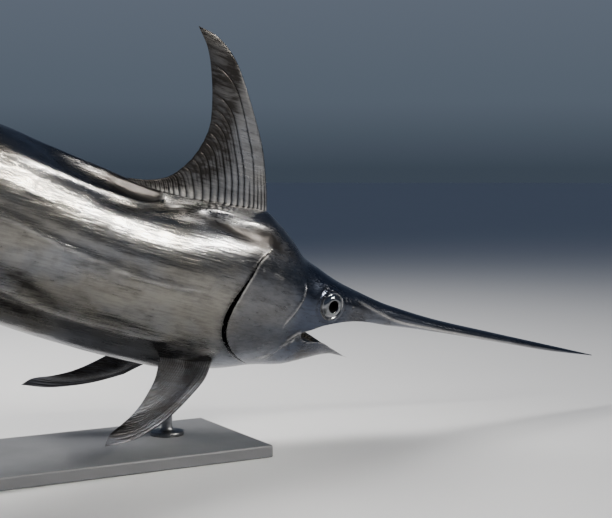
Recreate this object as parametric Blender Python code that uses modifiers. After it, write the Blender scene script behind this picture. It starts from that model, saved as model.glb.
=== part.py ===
"""Life-size swordfish sculpture in polished sheet metal, held on a plain display stand.

Metres, +Z up. The origin is the centre of the base's underside. The fish is drawn along its own axes,
with +X towards the tip of its bill, +Y to its left and +Z to its back, and then tipped on the stand.
"""

import math

import bmesh
import bpy
from mathutils import Matrix, Vector

# Gap between pieces that touch
GAP = 0.0003

# Pose of the fish: its zero point lies on the middle plane, a hand's length in front of the pectoral fins
FISH_FORWARD = 0.46
FISH_HEIGHT = 0.385
NOSE_DOWN = math.radians(15.6)
BANK = math.radians(10.2)

# Lines of the body, each a list of (x, value) from the tail to the tip of the bill
BACK = (
    (-1.53, 0.108), (-1.42, 0.112), (-1.28, 0.14), (-1.10, 0.186), (-0.90, 0.222), (-0.72, 0.231),
    (-0.56, 0.214), (-0.43, 0.201), (-0.30, 0.188), (-0.19, 0.194), (-0.09, 0.206), (0.0, 0.214),
    (0.05, 0.194), (0.10, 0.164), (0.15, 0.128), (0.20, 0.112), (0.275, 0.09), (0.35, 0.077),
    (0.45, 0.064), (0.60, 0.059), (0.80, 0.065), (1.0, 0.0725), (1.193, 0.0795),
)
BELLY = (
    (-1.53, 0.042), (-1.42, 0.032), (-1.28, 0.0), (-1.10, -0.065), (-0.90, -0.138), (-0.72, -0.188),
    (-0.50, -0.218), (-0.30, -0.231), (-0.17, -0.232), (-0.08, -0.219), (0.0, -0.2045), (0.09, -0.176),
    (0.18, -0.156), (0.24, -0.115), (0.30, -0.067), (0.36, -0.022), (0.42, 0.002), (0.51, 0.016),
    (0.61, 0.026), (0.85, 0.045), (1.0, 0.0555), (1.193, 0.0775),
)
CHIN = (
    (0.05, -0.191), (0.09, -0.176), (0.18, -0.156), (0.245, -0.128), (0.30, -0.105), (0.36, -0.095),
    (0.38, -0.094),
)
AXIS = (
    (-1.53, 0.075), (-1.28, 0.068), (-0.90, 0.045), (-0.50, 0.015), (-0.20, 0.0), (0.05, 0.0), (0.16, 0.012),
    (0.24, 0.028), (0.32, 0.033), (0.45, 0.037), (0.61, 0.0425), (0.85, 0.055), (1.0, 0.064), (1.193, 0.0785),
)
HALF_WIDTH = (
    (-1.53, 0.026), (-1.42, 0.03), (-1.28, 0.046), (-1.10, 0.076), (-0.90, 0.108), (-0.70, 0.127),
    (-0.45, 0.137), (-0.20, 0.136), (-0.05, 0.13), (0.05, 0.117), (0.13, 0.101), (0.20, 0.087),
    (0.25, 0.078), (0.30, 0.062), (0.36, 0.046), (0.43, 0.036), (0.55, 0.031), (0.75, 0.0255),
    (0.95, 0.019), (1.10, 0.012), (1.193, 0.002),
)
# Narrow crest that carries the low rear part of the first dorsal fin
CREST = ((-0.72, 0.0), (-0.56, 0.014), (-0.40, 0.024), (-0.26, 0.022), (-0.12, 0.008), (-0.02, 0.0))
CREST_HALF_WIDTH = 0.022
TAIL_END = -1.53
BILL_TIP = 1.193
# Places along the body where the rings are set closer or wider apart: (up to x, spacing)
RING_SPACING = ((-0.90, 0.07), (-0.06, 0.06), (0.46, 0.0289), (1.11, 0.093), (BILL_TIP, 0.0415))
RING_POINTS = 36
BACK_CROWDING = 1.3
FULLNESS = 0.93

# The rear of the body curves towards its right
BEND_START = -0.30
BEND_RADIUS = 4.4

# Seams between the pieces of the body, in side view
TAIL_SEAM = -0.93
BILL_SEAM = 0.405
HEAD_SEAM = 0.03
# Gill cover: its rear edge with the width of the open slit behind it, and its front edge along the cheek
COVER_REAR = (
    (0.010, 0.127, 0.003), (-0.016, 0.087, 0.006), (-0.034, 0.053, 0.009), (-0.046, 0.019, 0.012),
    (-0.055, -0.015, 0.016), (-0.058, -0.049, 0.018), (-0.054, -0.078, 0.018), (-0.043, -0.102, 0.016),
    (-0.026, -0.124, 0.012), (0.005, -0.146, 0.008), (0.040, -0.160, 0.004),
)
COVER_FRONT = (
    (0.075, -0.125), (0.107, -0.077), (0.125, -0.043), (0.14, -0.011), (0.148, 0.025), (0.145, 0.058),
    (0.131, 0.081), (0.075, 0.118),
)
COVER_INNER = 0.05
# Mouth: roof of the mouth, rim of the lower jaw, both from the corner forward, and the jaw's root behind it
MOUTH_CORNER = (0.186, -0.062)
MOUTH_ROOF = (
    (0.205, -0.044), (0.231, -0.026), (0.263, -0.013), (0.295, -0.003), (0.33, 0.005), (0.364, 0.01),
    (0.43, 0.012),
)
JAW_RIM = ((0.2025, -0.0715), (0.255, -0.0665), (0.315, -0.083), (0.3665, -0.0942))
JAW_ROOT = ((0.131, -0.099), (0.108, -0.145), (0.10, -0.22))
JAW_TIP = 0.3675
TROUGH_CENTRE = (0.262, 0.0, -0.068)
TROUGH_RADII = (0.082, 0.026, 0.02)

# Eye: centre on the skin, direction it faces, and its turned profile (radius, height over the skin)
EYE_CENTRE = (0.236, 0.0795, 0.034)
EYE_TURNED_FORWARD = math.radians(9.0)
EYE_TURNED_UP = math.radians(2.0)
SOCKET_RADIUS = 0.0353
SOCKET_DEPTH = 0.024
EYE_PROFILE = (
    (0.0, -0.006), (0.0128, -0.006), (0.0134, 0.0085), (0.0155, 0.0098), (0.022, 0.0088), (0.0275, 0.0055),
    (0.0305, 0.001), (0.032, 0.0005), (0.035, 0.003), (0.035, -0.0237), (0.0, -0.0237),
)
EYE_SIDES = 20

# First dorsal fin, in side view: base, leading edge and trailing edge
DORSAL_BASE = ((0.025, 0.196), (-0.09, 0.19), (-0.195, 0.176), (-0.30, 0.17), (-0.345, 0.172))
DORSAL_LEADING = (
    (0.025, 0.196), (0.0175, 0.225), (-0.0133, 0.29), (-0.0525, 0.361), (-0.112, 0.444), (-0.176, 0.522),
    (-0.217, 0.557), (-0.262, 0.578), (-0.312, 0.584),
)
DORSAL_TRAILING = (
    (-0.312, 0.584), (-0.27, 0.541), (-0.2369, 0.4776), (-0.2128, 0.4103), (-0.204, 0.3627), (-0.212, 0.3098),
    (-0.23, 0.268), (-0.264, 0.226), (-0.31, 0.199), (-0.355, 0.19),
)
DORSAL_RAYS = 16
DORSAL_CROWDING = 1.4

# Pectoral fin of the right side: root, leading edge and trailing edge
PECTORAL_BASE = ((-0.034, -0.07, -0.165), (-0.10, -0.072, -0.187), (-0.176, -0.07, -0.188))
PECTORAL_LEADING = (
    (-0.034, -0.07, -0.165), (-0.068, -0.13, -0.203), (-0.11, -0.172, -0.242), (-0.171, -0.222, -0.291),
    (-0.21, -0.248, -0.316), (-0.272, -0.28, -0.346), (-0.338, -0.296, -0.367),
)
PECTORAL_TRAILING = (
    (-0.338, -0.296, -0.367), (-0.325, -0.272, -0.348), (-0.292, -0.238, -0.331), (-0.259, -0.21, -0.308),
    (-0.228, -0.178, -0.276), (-0.196, -0.132, -0.232), (-0.179, -0.095, -0.2),
)
PECTORAL_RAYS = 10
# Turn of the left pectoral fin beside a true mirror image, growing from the hinge at its root to this reach
LEFT_PECTORAL_DROP = math.radians(11.0)
LEFT_PECTORAL_SWEEP = math.radians(16.0)
LEFT_PECTORAL_TWIST = math.radians(26.0)
LEFT_PECTORAL_REACH = 0.15
PECTORAL_HINGE = (-0.105, 0.065, -0.175)

# Rear fins and tail, in side view before the bend
ANAL_BASE = ((-0.872, -0.126), (-0.95, -0.10), (-1.035, -0.068))
ANAL_LEADING = ((-0.872, -0.126), (-0.93, -0.19), (-1.0, -0.262), (-1.085, -0.315), (-1.135, -0.328))
ANAL_TRAILING = ((-1.135, -0.328), (-1.095, -0.275), (-1.06, -0.20), (-1.047, -0.135), (-1.05, -0.09))
ANAL_RAYS = 8
SECOND_DORSAL_BASE = ((-1.252, 0.138), (-1.28, 0.13), (-1.308, 0.124))
SECOND_DORSAL_LEADING = ((-1.252, 0.138), (-1.285, 0.175), (-1.33, 0.206), (-1.368, 0.214))
SECOND_DORSAL_TRAILING = ((-1.368, 0.214), (-1.34, 0.188), (-1.322, 0.16), (-1.314, 0.136))
SECOND_ANAL_BASE = ((-1.238, -0.002), (-1.268, 0.004), (-1.298, 0.01))
SECOND_ANAL_LEADING = ((-1.238, -0.002), (-1.272, -0.036), (-1.318, -0.063), (-1.355, -0.07))
SECOND_ANAL_TRAILING = ((-1.355, -0.07), (-1.328, -0.046), (-1.31, -0.02), (-1.303, 0.0))
SMALL_FIN_RAYS = 4
# Tail lobe, measured along the fish and away from its middle line
TAIL_MIDDLE = 0.075
LOBE_BASE = ((-1.478, 0.0), (-1.51, 0.0), (-1.548, 0.0))
LOBE_LEADING = (
    (-1.478, 0.012), (-1.497, 0.045), (-1.545, 0.14), (-1.62, 0.255), (-1.7, 0.325), (-1.775, 0.362),
)
LOBE_TRAILING = (
    (-1.775, 0.362), (-1.725, 0.315), (-1.66, 0.23), (-1.612, 0.14), (-1.578, 0.06), (-1.562, 0.004),
)
LOBE_RAYS = 10

# Fin thickness, in metres: at the root, at the tip, and the height of the ribs at the root
LARGE_FIN = (0.020, 0.0036, 0.006)
PECTORAL_FIN = (0.015, 0.003, 0.0036)
SMALL_FIN = (0.011, 0.0026, 0.003)
FIN_EDGE = 0.0016
REAR_THINNING = 0.5

# Keels on the tail stalk
KEEL_LINE = ((-1.32, 0.02), (-1.37, 0.046), (-1.43, 0.056), (-1.48, 0.05), (-1.515, 0.03))
KEEL_THICKNESS = 0.012

# Display stand
BASE_SIZE = (0.92, 0.40, 0.03)
BASE_CHAMFER = 0.004
ROD_PLACES = {"stand_rod_front": -0.115, "stand_rod_rear": -0.80}
ROD_RADIUS = 0.014
ROD_REACH = 0.9
FOOT_RADIUS = 0.042
FOOT_HEIGHT = 0.010
ROD_SIDES = 16

COLLECTION = "swordfish_sculpture"


def smooth(points, at):
    """Value at a place on a smooth curve through (place, value) points, with no overshoot."""
    places = [point[0] for point in points]
    if places[0] > places[-1]:
        return smooth(points[::-1], at)
    at = min(max(at, places[0]), places[-1])
    last = len(points) - 2
    left = min(sum(place <= at for place in places[1:]), last)
    slopes = [(b[1] - a[1]) / (b[0] - a[0]) for a, b in zip(points, points[1:])]

    def tangent(index):
        if index == 0 or index == len(points) - 1:
            return slopes[min(index, last)]
        before, after = slopes[index - 1], slopes[index]
        return 0.0 if before * after <= 0 else 2 * before * after / (before + after)

    (start, low), (end, high) = points[left][:2], points[left + 1][:2]
    width = end - start
    t = (at - start) / width
    return (
        low * (1 + 2 * t) * (1 - t) ** 2
        + tangent(left) * width * t * (1 - t) ** 2
        + high * t * t * (3 - 2 * t)
        - tangent(left + 1) * width * t * t * (1 - t)
    )


def along(points, share):
    """Point at a share of the length of a smooth curve through the given points."""
    points = [Vector(point) for point in points]
    reach = [0.0]
    for before, after in zip(points, points[1:]):
        reach.append(reach[-1] + (after - before).length)
    return Vector(
        smooth_all([(reach[k], point[axis]) for k, point in enumerate(points)], share * reach[-1])
        for axis in range(len(points[0]))
    )


def smooth_all(points, at):
    """Catmull-Rom value, which may turn back on itself as an outline does."""
    last = len(points) - 2
    left = min(sum(place <= at for place, _ in points[1:]), last)

    def tangent(index):
        low, high = max(index - 1, 0), min(index + 1, len(points) - 1)
        return (points[high][1] - points[low][1]) / (points[high][0] - points[low][0])

    (start, low), (end, high) = points[left], points[left + 1]
    width = end - start
    t = (at - start) / width
    return (
        low * (1 + 2 * t) * (1 - t) ** 2
        + tangent(left) * width * t * (1 - t) ** 2
        + high * t * t * (3 - 2 * t)
        - tangent(left + 1) * width * t * t * (1 - t)
    )


def bend(point):
    """Point of the straight fish, moved to where the curved rear carries it."""
    x, y, z = point
    if x >= BEND_START:
        return Vector(point)
    angle = (BEND_START - x) / BEND_RADIUS
    radius = BEND_RADIUS + y
    return Vector((BEND_START - radius * math.sin(angle), y - radius * (1 - math.cos(angle)), z))


def skin_point(x, share, belly):
    """Point of the skin at x. The share runs from -1 under the belly, over the back at 0, to 1."""
    angle = math.pi * abs(share) ** BACK_CROWDING
    side = math.copysign(1.0, share)
    axis = smooth(AXIS, x)
    crest = smooth(CREST, x) if CREST[0][0] < x < CREST[-1][0] else 0.0
    y = smooth(HALF_WIDTH, x) * max(math.sin(angle), 0.0) ** FULLNESS
    if angle < math.pi / 2:
        z = axis + (smooth(BACK, x) - crest - axis) * math.cos(angle)
        z += crest * math.exp(-((y / CREST_HALF_WIDTH) ** 2))
    else:
        z = axis - (axis - smooth(belly, x)) * -math.cos(angle)
    return bend((x, side * y, z))


def new_object(name, mesh, collection=COLLECTION):
    obj = bpy.data.objects.new(name, mesh)
    bpy.data.collections[collection].objects.link(obj)
    return obj


def face_outwards(shape):
    """Turns the faces of a closed shape outwards."""
    bmesh.ops.recalc_face_normals(shape, faces=shape.faces)
    if shape.calc_volume(signed=True) < 0:
        bmesh.ops.reverse_faces(shape, faces=shape.faces)


def mesh_object(name, shape):
    face_outwards(shape)
    mesh = bpy.data.meshes.new(name)
    shape.to_mesh(mesh)
    shape.free()
    return new_object(name, mesh)


def ring_places(start, end):
    """Places of the rings between two ends, spaced as each stretch of the body asks."""
    places = [start]
    for limit, spacing in RING_SPACING:
        stretch = min(limit, end) - places[-1]
        if stretch <= 0:
            continue
        count = max(round(stretch / spacing), 1)
        places += [places[-1] + stretch * (k + 1) / count for k in range(count)]
    return places


def body_loft(name, places, belly):
    """Closed loft of the body's rings, with a flat face at each end."""
    shape = bmesh.new()
    rings = []
    for x in places:
        shares = [2 * k / RING_POINTS - 1 for k in range(RING_POINTS)]
        rings.append([shape.verts.new(skin_point(x, share, belly)) for share in shares])
    for before, after in zip(rings, rings[1:]):
        for k in range(RING_POINTS):
            following = (k + 1) % RING_POINTS
            shape.faces.new((before[k], before[following], after[following], after[k]))
    shape.faces.new(rings[0])
    shape.faces.new(rings[-1])
    bmesh.ops.triangulate(shape, faces=shape.faces)
    return mesh_object(name, shape)


def apply_modifiers(obj):
    """Makes the shape that the modifiers give the object's own mesh."""
    bpy.context.view_layer.update()
    graph = bpy.context.evaluated_depsgraph_get()
    mesh = bpy.data.meshes.new_from_object(obj.evaluated_get(graph))
    obj.modifiers.clear()
    obj.vertex_groups.clear()
    obj.data = mesh


def remove(*objects):
    for obj in objects:
        bpy.data.objects.remove(obj)


def copy_of(obj, name, grow=0.0):
    """Copy of an object, with its surface moved outwards where grow is given."""
    twin = new_object(name, obj.data.copy())
    if grow:
        displace = twin.modifiers.new("grow", "DISPLACE")
        displace.strength = grow
        displace.mid_level = 0.0
        apply_modifiers(twin)
    return twin


def is_solid(obj):
    """Whether the mesh is there and closed."""
    shape = bmesh.new()
    shape.from_mesh(obj.data)
    solid = len(shape.faces) > 0 and all(edge.is_manifold for edge in shape.edges)
    shape.free()
    return solid


def combine(obj, other, operation, solver="EXACT"):
    """Cuts or joins two solids. Where the exact solver loses the solid, the manifold one does it."""
    before = obj.data
    boolean = obj.modifiers.new(operation.lower(), "BOOLEAN")
    boolean.operation = operation
    boolean.object = other
    boolean.solver = solver
    apply_modifiers(obj)
    if solver == "EXACT" and not is_solid(obj):
        obj.data = before
        combine(obj, other, operation, "MANIFOLD")


def keep_largest(obj):
    """Leaves only the closed surface with the most faces."""
    shape = bmesh.new()
    shape.from_mesh(obj.data)
    waiting = set(shape.faces)
    surfaces = []
    while waiting:
        found = [waiting.pop()]
        for face in found:
            for edge in face.edges:
                for near in edge.link_faces:
                    if near in waiting:
                        waiting.remove(near)
                        found.append(near)
        surfaces.append(found)
    surfaces.sort(key=len)
    scraps = [face for surface in surfaces[:-1] for face in surface]
    bmesh.ops.delete(shape, geom=scraps, context="FACES")
    bmesh.ops.dissolve_degenerate(shape, dist=1e-6, edges=shape.edges)
    shape.to_mesh(obj.data)
    shape.free()


def side_prism(name, outline, low_y, high_y):
    """Solid with the given outline in side view, from one side distance to another."""
    curve = bpy.data.curves.new(name, "CURVE")
    curve.dimensions = "2D"
    curve.fill_mode = "BOTH"
    curve.extrude = (high_y - low_y) / 2
    spline = curve.splines.new("POLY")
    spline.points.add(len(outline) - 1)
    for point, (x, z) in zip(spline.points, outline):
        point.co = (x, z, 0, 1)
    spline.use_cyclic_u = True
    flat = new_object(name, curve)
    middle = Matrix.Translation((0, (low_y + high_y) / 2, 0))
    flat.matrix_world = middle @ Matrix.Rotation(math.pi / 2, 4, "X")
    bpy.context.view_layer.update()
    graph = bpy.context.evaluated_depsgraph_get()
    mesh = bpy.data.meshes.new_from_object(flat.evaluated_get(graph))
    mesh.transform(flat.matrix_world)
    shape = bmesh.new()
    shape.from_mesh(mesh)
    bmesh.ops.remove_doubles(shape, verts=shape.verts, dist=1e-5)
    bpy.data.meshes.remove(mesh)
    remove(flat)
    return mesh_object(name, shape)


def material(name, color, roughness, metallic=1.0):
    made = bpy.data.materials.new(name)
    made.use_nodes = True
    shader = made.node_tree.nodes["Principled BSDF"]
    shader.inputs["Base Color"].default_value = (*color, 1)
    shader.inputs["Roughness"].default_value = roughness
    shader.inputs["Metallic"].default_value = metallic
    return made


def finish(obj, parent, *surface):
    """Names the material after the object, shades it smooth and hangs it on its parent."""
    obj.data.materials.clear()
    obj.data.materials.append(material(obj.name + "_metal", *surface))
    obj.data.shade_smooth()
    obj.data.set_sharp_from_angle(angle=math.radians(35))
    obj.parent = parent


def fin_thickness(across, up, rays, sizes):
    """Thickness at a place on the fin: thin at the edges, the tip and the rear, with a rib along each ray."""
    root, tip, rib = sizes
    body = tip + (root * (1 - REAR_THINNING * across) - tip) * (1 - up) ** 1.3
    edge = max(min(across / 0.05, (1 - across) / 0.04, (1 - up) / 0.12, 1.0), 0.0)
    ridge = rib * (1 - up) ** 0.4 * math.cos(2 * math.pi * rays * across)
    return max(FIN_EDGE, FIN_EDGE + (body - FIN_EDGE) * edge**0.5 + ridge * edge)


def fin(name, base, leading, trailing, rays, sizes, rows, place, crowding=1.0):
    """Fin spanned by its rays, which run from the base to the trailing edge.

    The leading edge is the first ray. Each other ray has the same curve, turned and shortened to fit.
    Crowding over 1 makes the rays lean back more: their feet gather to the front and their ends to the rear.
    """
    columns = rays * 3
    shape = bmesh.new()
    bmesh.ops.create_grid(shape, x_segments=columns, y_segments=rows, size=0.5)
    layer = shape.verts.layers.deform.new()
    thickest = sizes[0] + sizes[2]
    longest = Vector(leading[-1]) - Vector(leading[0])
    for vert in shape.verts:
        across, up = max(vert.co.x + 0.5, 0.0), vert.co.y + 0.5
        foot = along(base, across**crowding)
        chord = along(trailing, across ** (1 / crowding)) - foot
        ray = along(leading, up) - Vector(leading[0])
        ray.rotate(longest.rotation_difference(chord))
        vert.co = place(foot + ray * (chord.length / longest.length))
        vert[layer][0] = fin_thickness(across, up, rays, sizes) / thickest
    bmesh.ops.triangulate(shape, faces=shape.faces)
    obj = mesh_object(name, shape)
    obj.vertex_groups.new(name="thickness")
    solidify = obj.modifiers.new("thickness", "SOLIDIFY")
    solidify.thickness = thickest
    solidify.offset = 0.0
    solidify.vertex_group = "thickness"
    apply_modifiers(obj)
    shape = bmesh.new()
    shape.from_mesh(obj.data)
    face_outwards(shape)
    shape.to_mesh(obj.data)
    shape.free()
    return obj


def upright(outline):
    """Outline of (x, z) points, set in the fish's middle plane."""
    return [(x, 0.0, z) for x, z in outline]


def slice_of_space(name, rear, front):
    """Region between two upright planes across the fish, wider than its body."""
    return side_prism(name, ((front, 0.4), (front, -0.4), (rear, -0.4), (rear, 0.4)), -0.4, 0.4)


def shifted(line, distance):
    return [(point[0] + distance, *point[1:]) for point in line]


def piece_of(body, name, *regions):
    """Piece of the body inside the first region and outside the others."""
    piece = copy_of(body, name)
    combine(piece, regions[0], "INTERSECT")
    for region in regions[1:]:
        combine(piece, region, "DIFFERENCE")
    keep_largest(piece)
    return piece


def cover_outline(slack):
    """Outline of the gill cover. With slack it also takes in the slit behind the cover and a small gap."""
    upper, lower = COVER_REAR[0], COVER_REAR[-1]
    rear = [(x - (width + GAP) * slack, z) for x, z, width in COVER_REAR]
    front = [(x + GAP * slack, z) for x, z in COVER_FRONT]
    if slack:
        rear = [(upper[0], upper[1] + GAP * 2), *rear, (lower[0], lower[1] - GAP * 2)]
        front[0] = (front[0][0], front[0][1] - GAP * 2)
        front[-1] = (front[-1][0], front[-1][1] + GAP * 2)
    return rear + front


def eye_frame(side):
    """Place and direction of an eye: its own +Z looks out of the head."""
    x, y, z = EYE_CENTRE
    out = Vector((math.sin(EYE_TURNED_FORWARD), side * math.cos(EYE_TURNED_FORWARD), math.sin(EYE_TURNED_UP)))
    turn = out.to_track_quat("Z", "Y").to_matrix().to_4x4()
    return Matrix.Translation((x, side * y, z)) @ turn


def socket(side):
    shape = bmesh.new()
    sizes = {"radius1": SOCKET_RADIUS, "radius2": SOCKET_RADIUS, "depth": 2 * SOCKET_DEPTH}
    bmesh.ops.create_cone(shape, cap_ends=True, segments=EYE_SIDES, **sizes)
    shape.transform(eye_frame(side))
    return mesh_object("socket", shape)


def turned(name, profile, sides):
    """Solid turned from a profile of (radius, height) points, listed from the top down the outer side."""
    shape = bmesh.new()
    verts = [shape.verts.new((radius, 0, height)) for radius, height in profile]
    for upper, lower in zip(verts, verts[1:]):
        shape.edges.new((upper, lower))
    mesh = bpy.data.meshes.new(name)
    shape.to_mesh(mesh)
    shape.free()
    obj = new_object(name, mesh)
    screw = obj.modifiers.new("turn", "SCREW")
    screw.steps = sides
    screw.render_steps = sides
    screw.use_merge_vertices = True
    screw.merge_threshold = 1e-5
    apply_modifiers(obj)
    return obj


def eye(name, side):
    obj = turned(name, EYE_PROFILE, EYE_SIDES)
    obj.data.transform(eye_frame(side))
    return obj


def trough():
    """Hollow between the two rims of the lower jaw."""
    shape = bmesh.new()
    bmesh.ops.create_uvsphere(shape, u_segments=20, v_segments=12, radius=1.0)
    bmesh.ops.scale(shape, vec=TROUGH_RADII, verts=shape.verts)
    bmesh.ops.translate(shape, vec=TROUGH_CENTRE, verts=shape.verts)
    return mesh_object("trough", shape)


def make_body_pieces(body):
    """Cuts the body into head, bill, torso and tail stalk, with the gill covers and the lower jaw."""
    jaw_body = body_loft("jaw_body", [0.085 + (JAW_TIP - 0.085) * k / 12 for k in range(13)], CHIN)
    mouth = [MOUTH_CORNER, *MOUTH_ROOF, (0.46, -0.3), (0.10, -0.3), *reversed(JAW_ROOT)]
    jaw_outline = [*shifted((MOUTH_CORNER, *JAW_ROOT), GAP * 2), (0.46, -0.22), (0.46, -0.105)]
    jaw_outline += reversed(JAW_RIM)
    regions = {
        "torso": slice_of_space("torso_region", TAIL_SEAM, HEAD_SEAM - GAP),
        "stalk": slice_of_space("stalk_region", TAIL_END - 0.2, TAIL_SEAM - GAP),
        "head": slice_of_space("head_region", HEAD_SEAM, BILL_SEAM - GAP),
        "bill": slice_of_space("bill_region", BILL_SEAM, BILL_TIP + 0.1),
        "mouth": side_prism("mouth", mouth, -0.3, 0.3),
        "jaw": side_prism("jaw_region", jaw_outline, -0.3, 0.3),
        "pocket_right": side_prism("pocket_right", cover_outline(1), -0.3, -COVER_INNER + GAP),
        "pocket_left": side_prism("pocket_left", cover_outline(1), COVER_INNER - GAP, 0.3),
        "cover_right": side_prism("cover_right", cover_outline(0), -0.3, -COVER_INNER),
        "cover_left": side_prism("cover_left", cover_outline(0), COVER_INNER, 0.3),
        "socket_right": socket(-1),
        "socket_left": socket(1),
        "trough": trough(),
    }
    pockets = [regions["pocket_right"], regions["pocket_left"]]
    sockets = [regions["socket_right"], regions["socket_left"]]
    pieces = {
        "torso": piece_of(body, "torso", regions["torso"], *pockets),
        "tail_stalk": piece_of(body, "tail_stalk", regions["stalk"]),
        "head": piece_of(body, "head", regions["head"], regions["mouth"], *pockets, *sockets),
        "bill": piece_of(body, "bill", regions["bill"], regions["mouth"]),
        "gill_cover_right": piece_of(body, "gill_cover_right", regions["cover_right"], regions["mouth"]),
        "gill_cover_left": piece_of(body, "gill_cover_left", regions["cover_left"], regions["mouth"]),
        "lower_jaw": piece_of(jaw_body, "lower_jaw", regions["jaw"], regions["trough"]),
    }
    remove(jaw_body, *regions.values())
    return pieces


def keel(name, side, grown_body):
    """Flat ridge along one side of the tail stalk."""
    outline = [(x, side * y) for x, y in KEEL_LINE]
    outline += [(KEEL_LINE[-1][0], 0.0), (KEEL_LINE[0][0], 0.0)]
    shape = bmesh.new()
    face = shape.faces.new([shape.verts.new((x, y, -1.0)) for x, y in outline])
    raised = bmesh.ops.extrude_face_region(shape, geom=[face])["geom"]
    upper = [part for part in raised if isinstance(part, bmesh.types.BMVert)]
    bmesh.ops.translate(shape, vec=(0, 0, 2), verts=upper)
    reach = max(y for _, y in KEEL_LINE)
    for vert in shape.verts:
        lift = KEEL_THICKNESS / 2 * (1 - 0.7 * abs(vert.co.y) / reach)
        vert.co.z = TAIL_MIDDLE + lift * vert.co.z
        vert.co = bend(vert.co)
    obj = mesh_object(name, shape)
    combine(obj, grown_body, "DIFFERENCE")
    keep_largest(obj)
    return obj


def rooted(obj, grown_body):
    """Cuts away what lies inside the body, so that the fin meets the skin."""
    combine(obj, grown_body, "DIFFERENCE", "MANIFOLD")
    keep_largest(obj)
    return obj


def make_fins(grown_body):
    def right(point):
        return Vector(point)

    def mirrored(point):
        return Vector((point[0], -point[1], point[2])) - Vector(PECTORAL_HINGE)

    span = mirrored(PECTORAL_LEADING[-1]).normalized()

    def left(point):
        arm = mirrored(point)
        share = min(arm.length / LEFT_PECTORAL_REACH, 1.0)
        arm.rotate(Matrix.Rotation(share * LEFT_PECTORAL_TWIST, 3, span))
        arm.rotate(Matrix.Rotation(share * LEFT_PECTORAL_SWEEP, 3, "Z"))
        arm.rotate(Matrix.Rotation(-share * LEFT_PECTORAL_DROP, 3, "X"))
        return Vector(PECTORAL_HINGE) + arm

    def upper(point):
        return bend((point.x, 0.0, TAIL_MIDDLE + GAP / 2 + point.z))

    def lower(point):
        return bend((point.x, 0.0, TAIL_MIDDLE - GAP / 2 - point.z))

    dorsal = (*map(upright, (DORSAL_BASE, DORSAL_LEADING, DORSAL_TRAILING)), DORSAL_RAYS, LARGE_FIN, 9)
    pectoral = (PECTORAL_BASE, PECTORAL_LEADING, PECTORAL_TRAILING, PECTORAL_RAYS, PECTORAL_FIN, 6)
    anal = (*map(upright, (ANAL_BASE, ANAL_LEADING, ANAL_TRAILING)), ANAL_RAYS, SMALL_FIN, 5)
    second_dorsal = map(upright, (SECOND_DORSAL_BASE, SECOND_DORSAL_LEADING, SECOND_DORSAL_TRAILING))
    second_anal = map(upright, (SECOND_ANAL_BASE, SECOND_ANAL_LEADING, SECOND_ANAL_TRAILING))
    lobe = (*map(upright, (LOBE_BASE, LOBE_LEADING, LOBE_TRAILING)), LOBE_RAYS, PECTORAL_FIN, 6)
    small = (SMALL_FIN_RAYS, SMALL_FIN, 3, bend)
    fins = [
        fin("first_dorsal_fin", *dorsal, bend, DORSAL_CROWDING),
        fin("pectoral_fin_right", *pectoral, right),
        fin("pectoral_fin_left", *pectoral, left),
        fin("first_anal_fin", *anal, bend),
        fin("second_dorsal_fin", *second_dorsal, *small),
        fin("second_anal_fin", *second_anal, *small),
        fin("tail_fin_upper", *lobe, upper),
        fin("tail_fin_lower", *lobe, lower),
    ]
    return [rooted(obj, grown_body) for obj in fins]


def fish_matrix():
    place = Matrix.Translation((FISH_FORWARD, 0, FISH_HEIGHT))
    return place @ Matrix.Rotation(NOSE_DOWN, 4, "Y") @ Matrix.Rotation(BANK, 4, "X")


def stand_base():
    shape = bmesh.new()
    bmesh.ops.create_cube(shape, size=1.0)
    bmesh.ops.scale(shape, vec=BASE_SIZE, verts=shape.verts)
    bmesh.ops.translate(shape, vec=(0, 0, BASE_SIZE[2] / 2), verts=shape.verts)
    obj = mesh_object("stand_base", shape)
    bevel = obj.modifiers.new("edges", "BEVEL")
    bevel.width = BASE_CHAMFER
    bevel.segments = 2
    return obj


def stand_rod(name, fish_x, grown_body):
    """Upright rod with a round foot, cut off where it meets the belly."""
    profile = (
        (0.0, ROD_REACH), (ROD_RADIUS, ROD_REACH), (ROD_RADIUS, FOOT_HEIGHT * 2),
        (ROD_RADIUS * 1.25, FOOT_HEIGHT * 1.2), (ROD_RADIUS * 2, FOOT_HEIGHT),
        (FOOT_RADIUS - 0.002, FOOT_HEIGHT), (FOOT_RADIUS, FOOT_HEIGHT - 0.002), (FOOT_RADIUS, 0.0),
        (0.0, 0.0),
    )
    obj = turned(name, profile, ROD_SIDES)
    under = fish_matrix() @ bend((fish_x, 0.0, smooth(BELLY, fish_x)))
    obj.data.transform(Matrix.Translation((under.x, under.y, BASE_SIZE[2] + GAP)))
    combine(obj, grown_body, "DIFFERENCE")
    drop_upper_rod(obj, under.z)
    return obj


def drop_upper_rod(obj, belly_height):
    """Removes the stretch of rod that passed through the body and came out above it."""
    shape = bmesh.new()
    shape.from_mesh(obj.data)
    above = [vert for vert in shape.verts if vert.co.z > belly_height + 0.1]
    bmesh.ops.delete(shape, geom=above, context="VERTS")
    shape.to_mesh(obj.data)
    shape.free()


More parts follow.
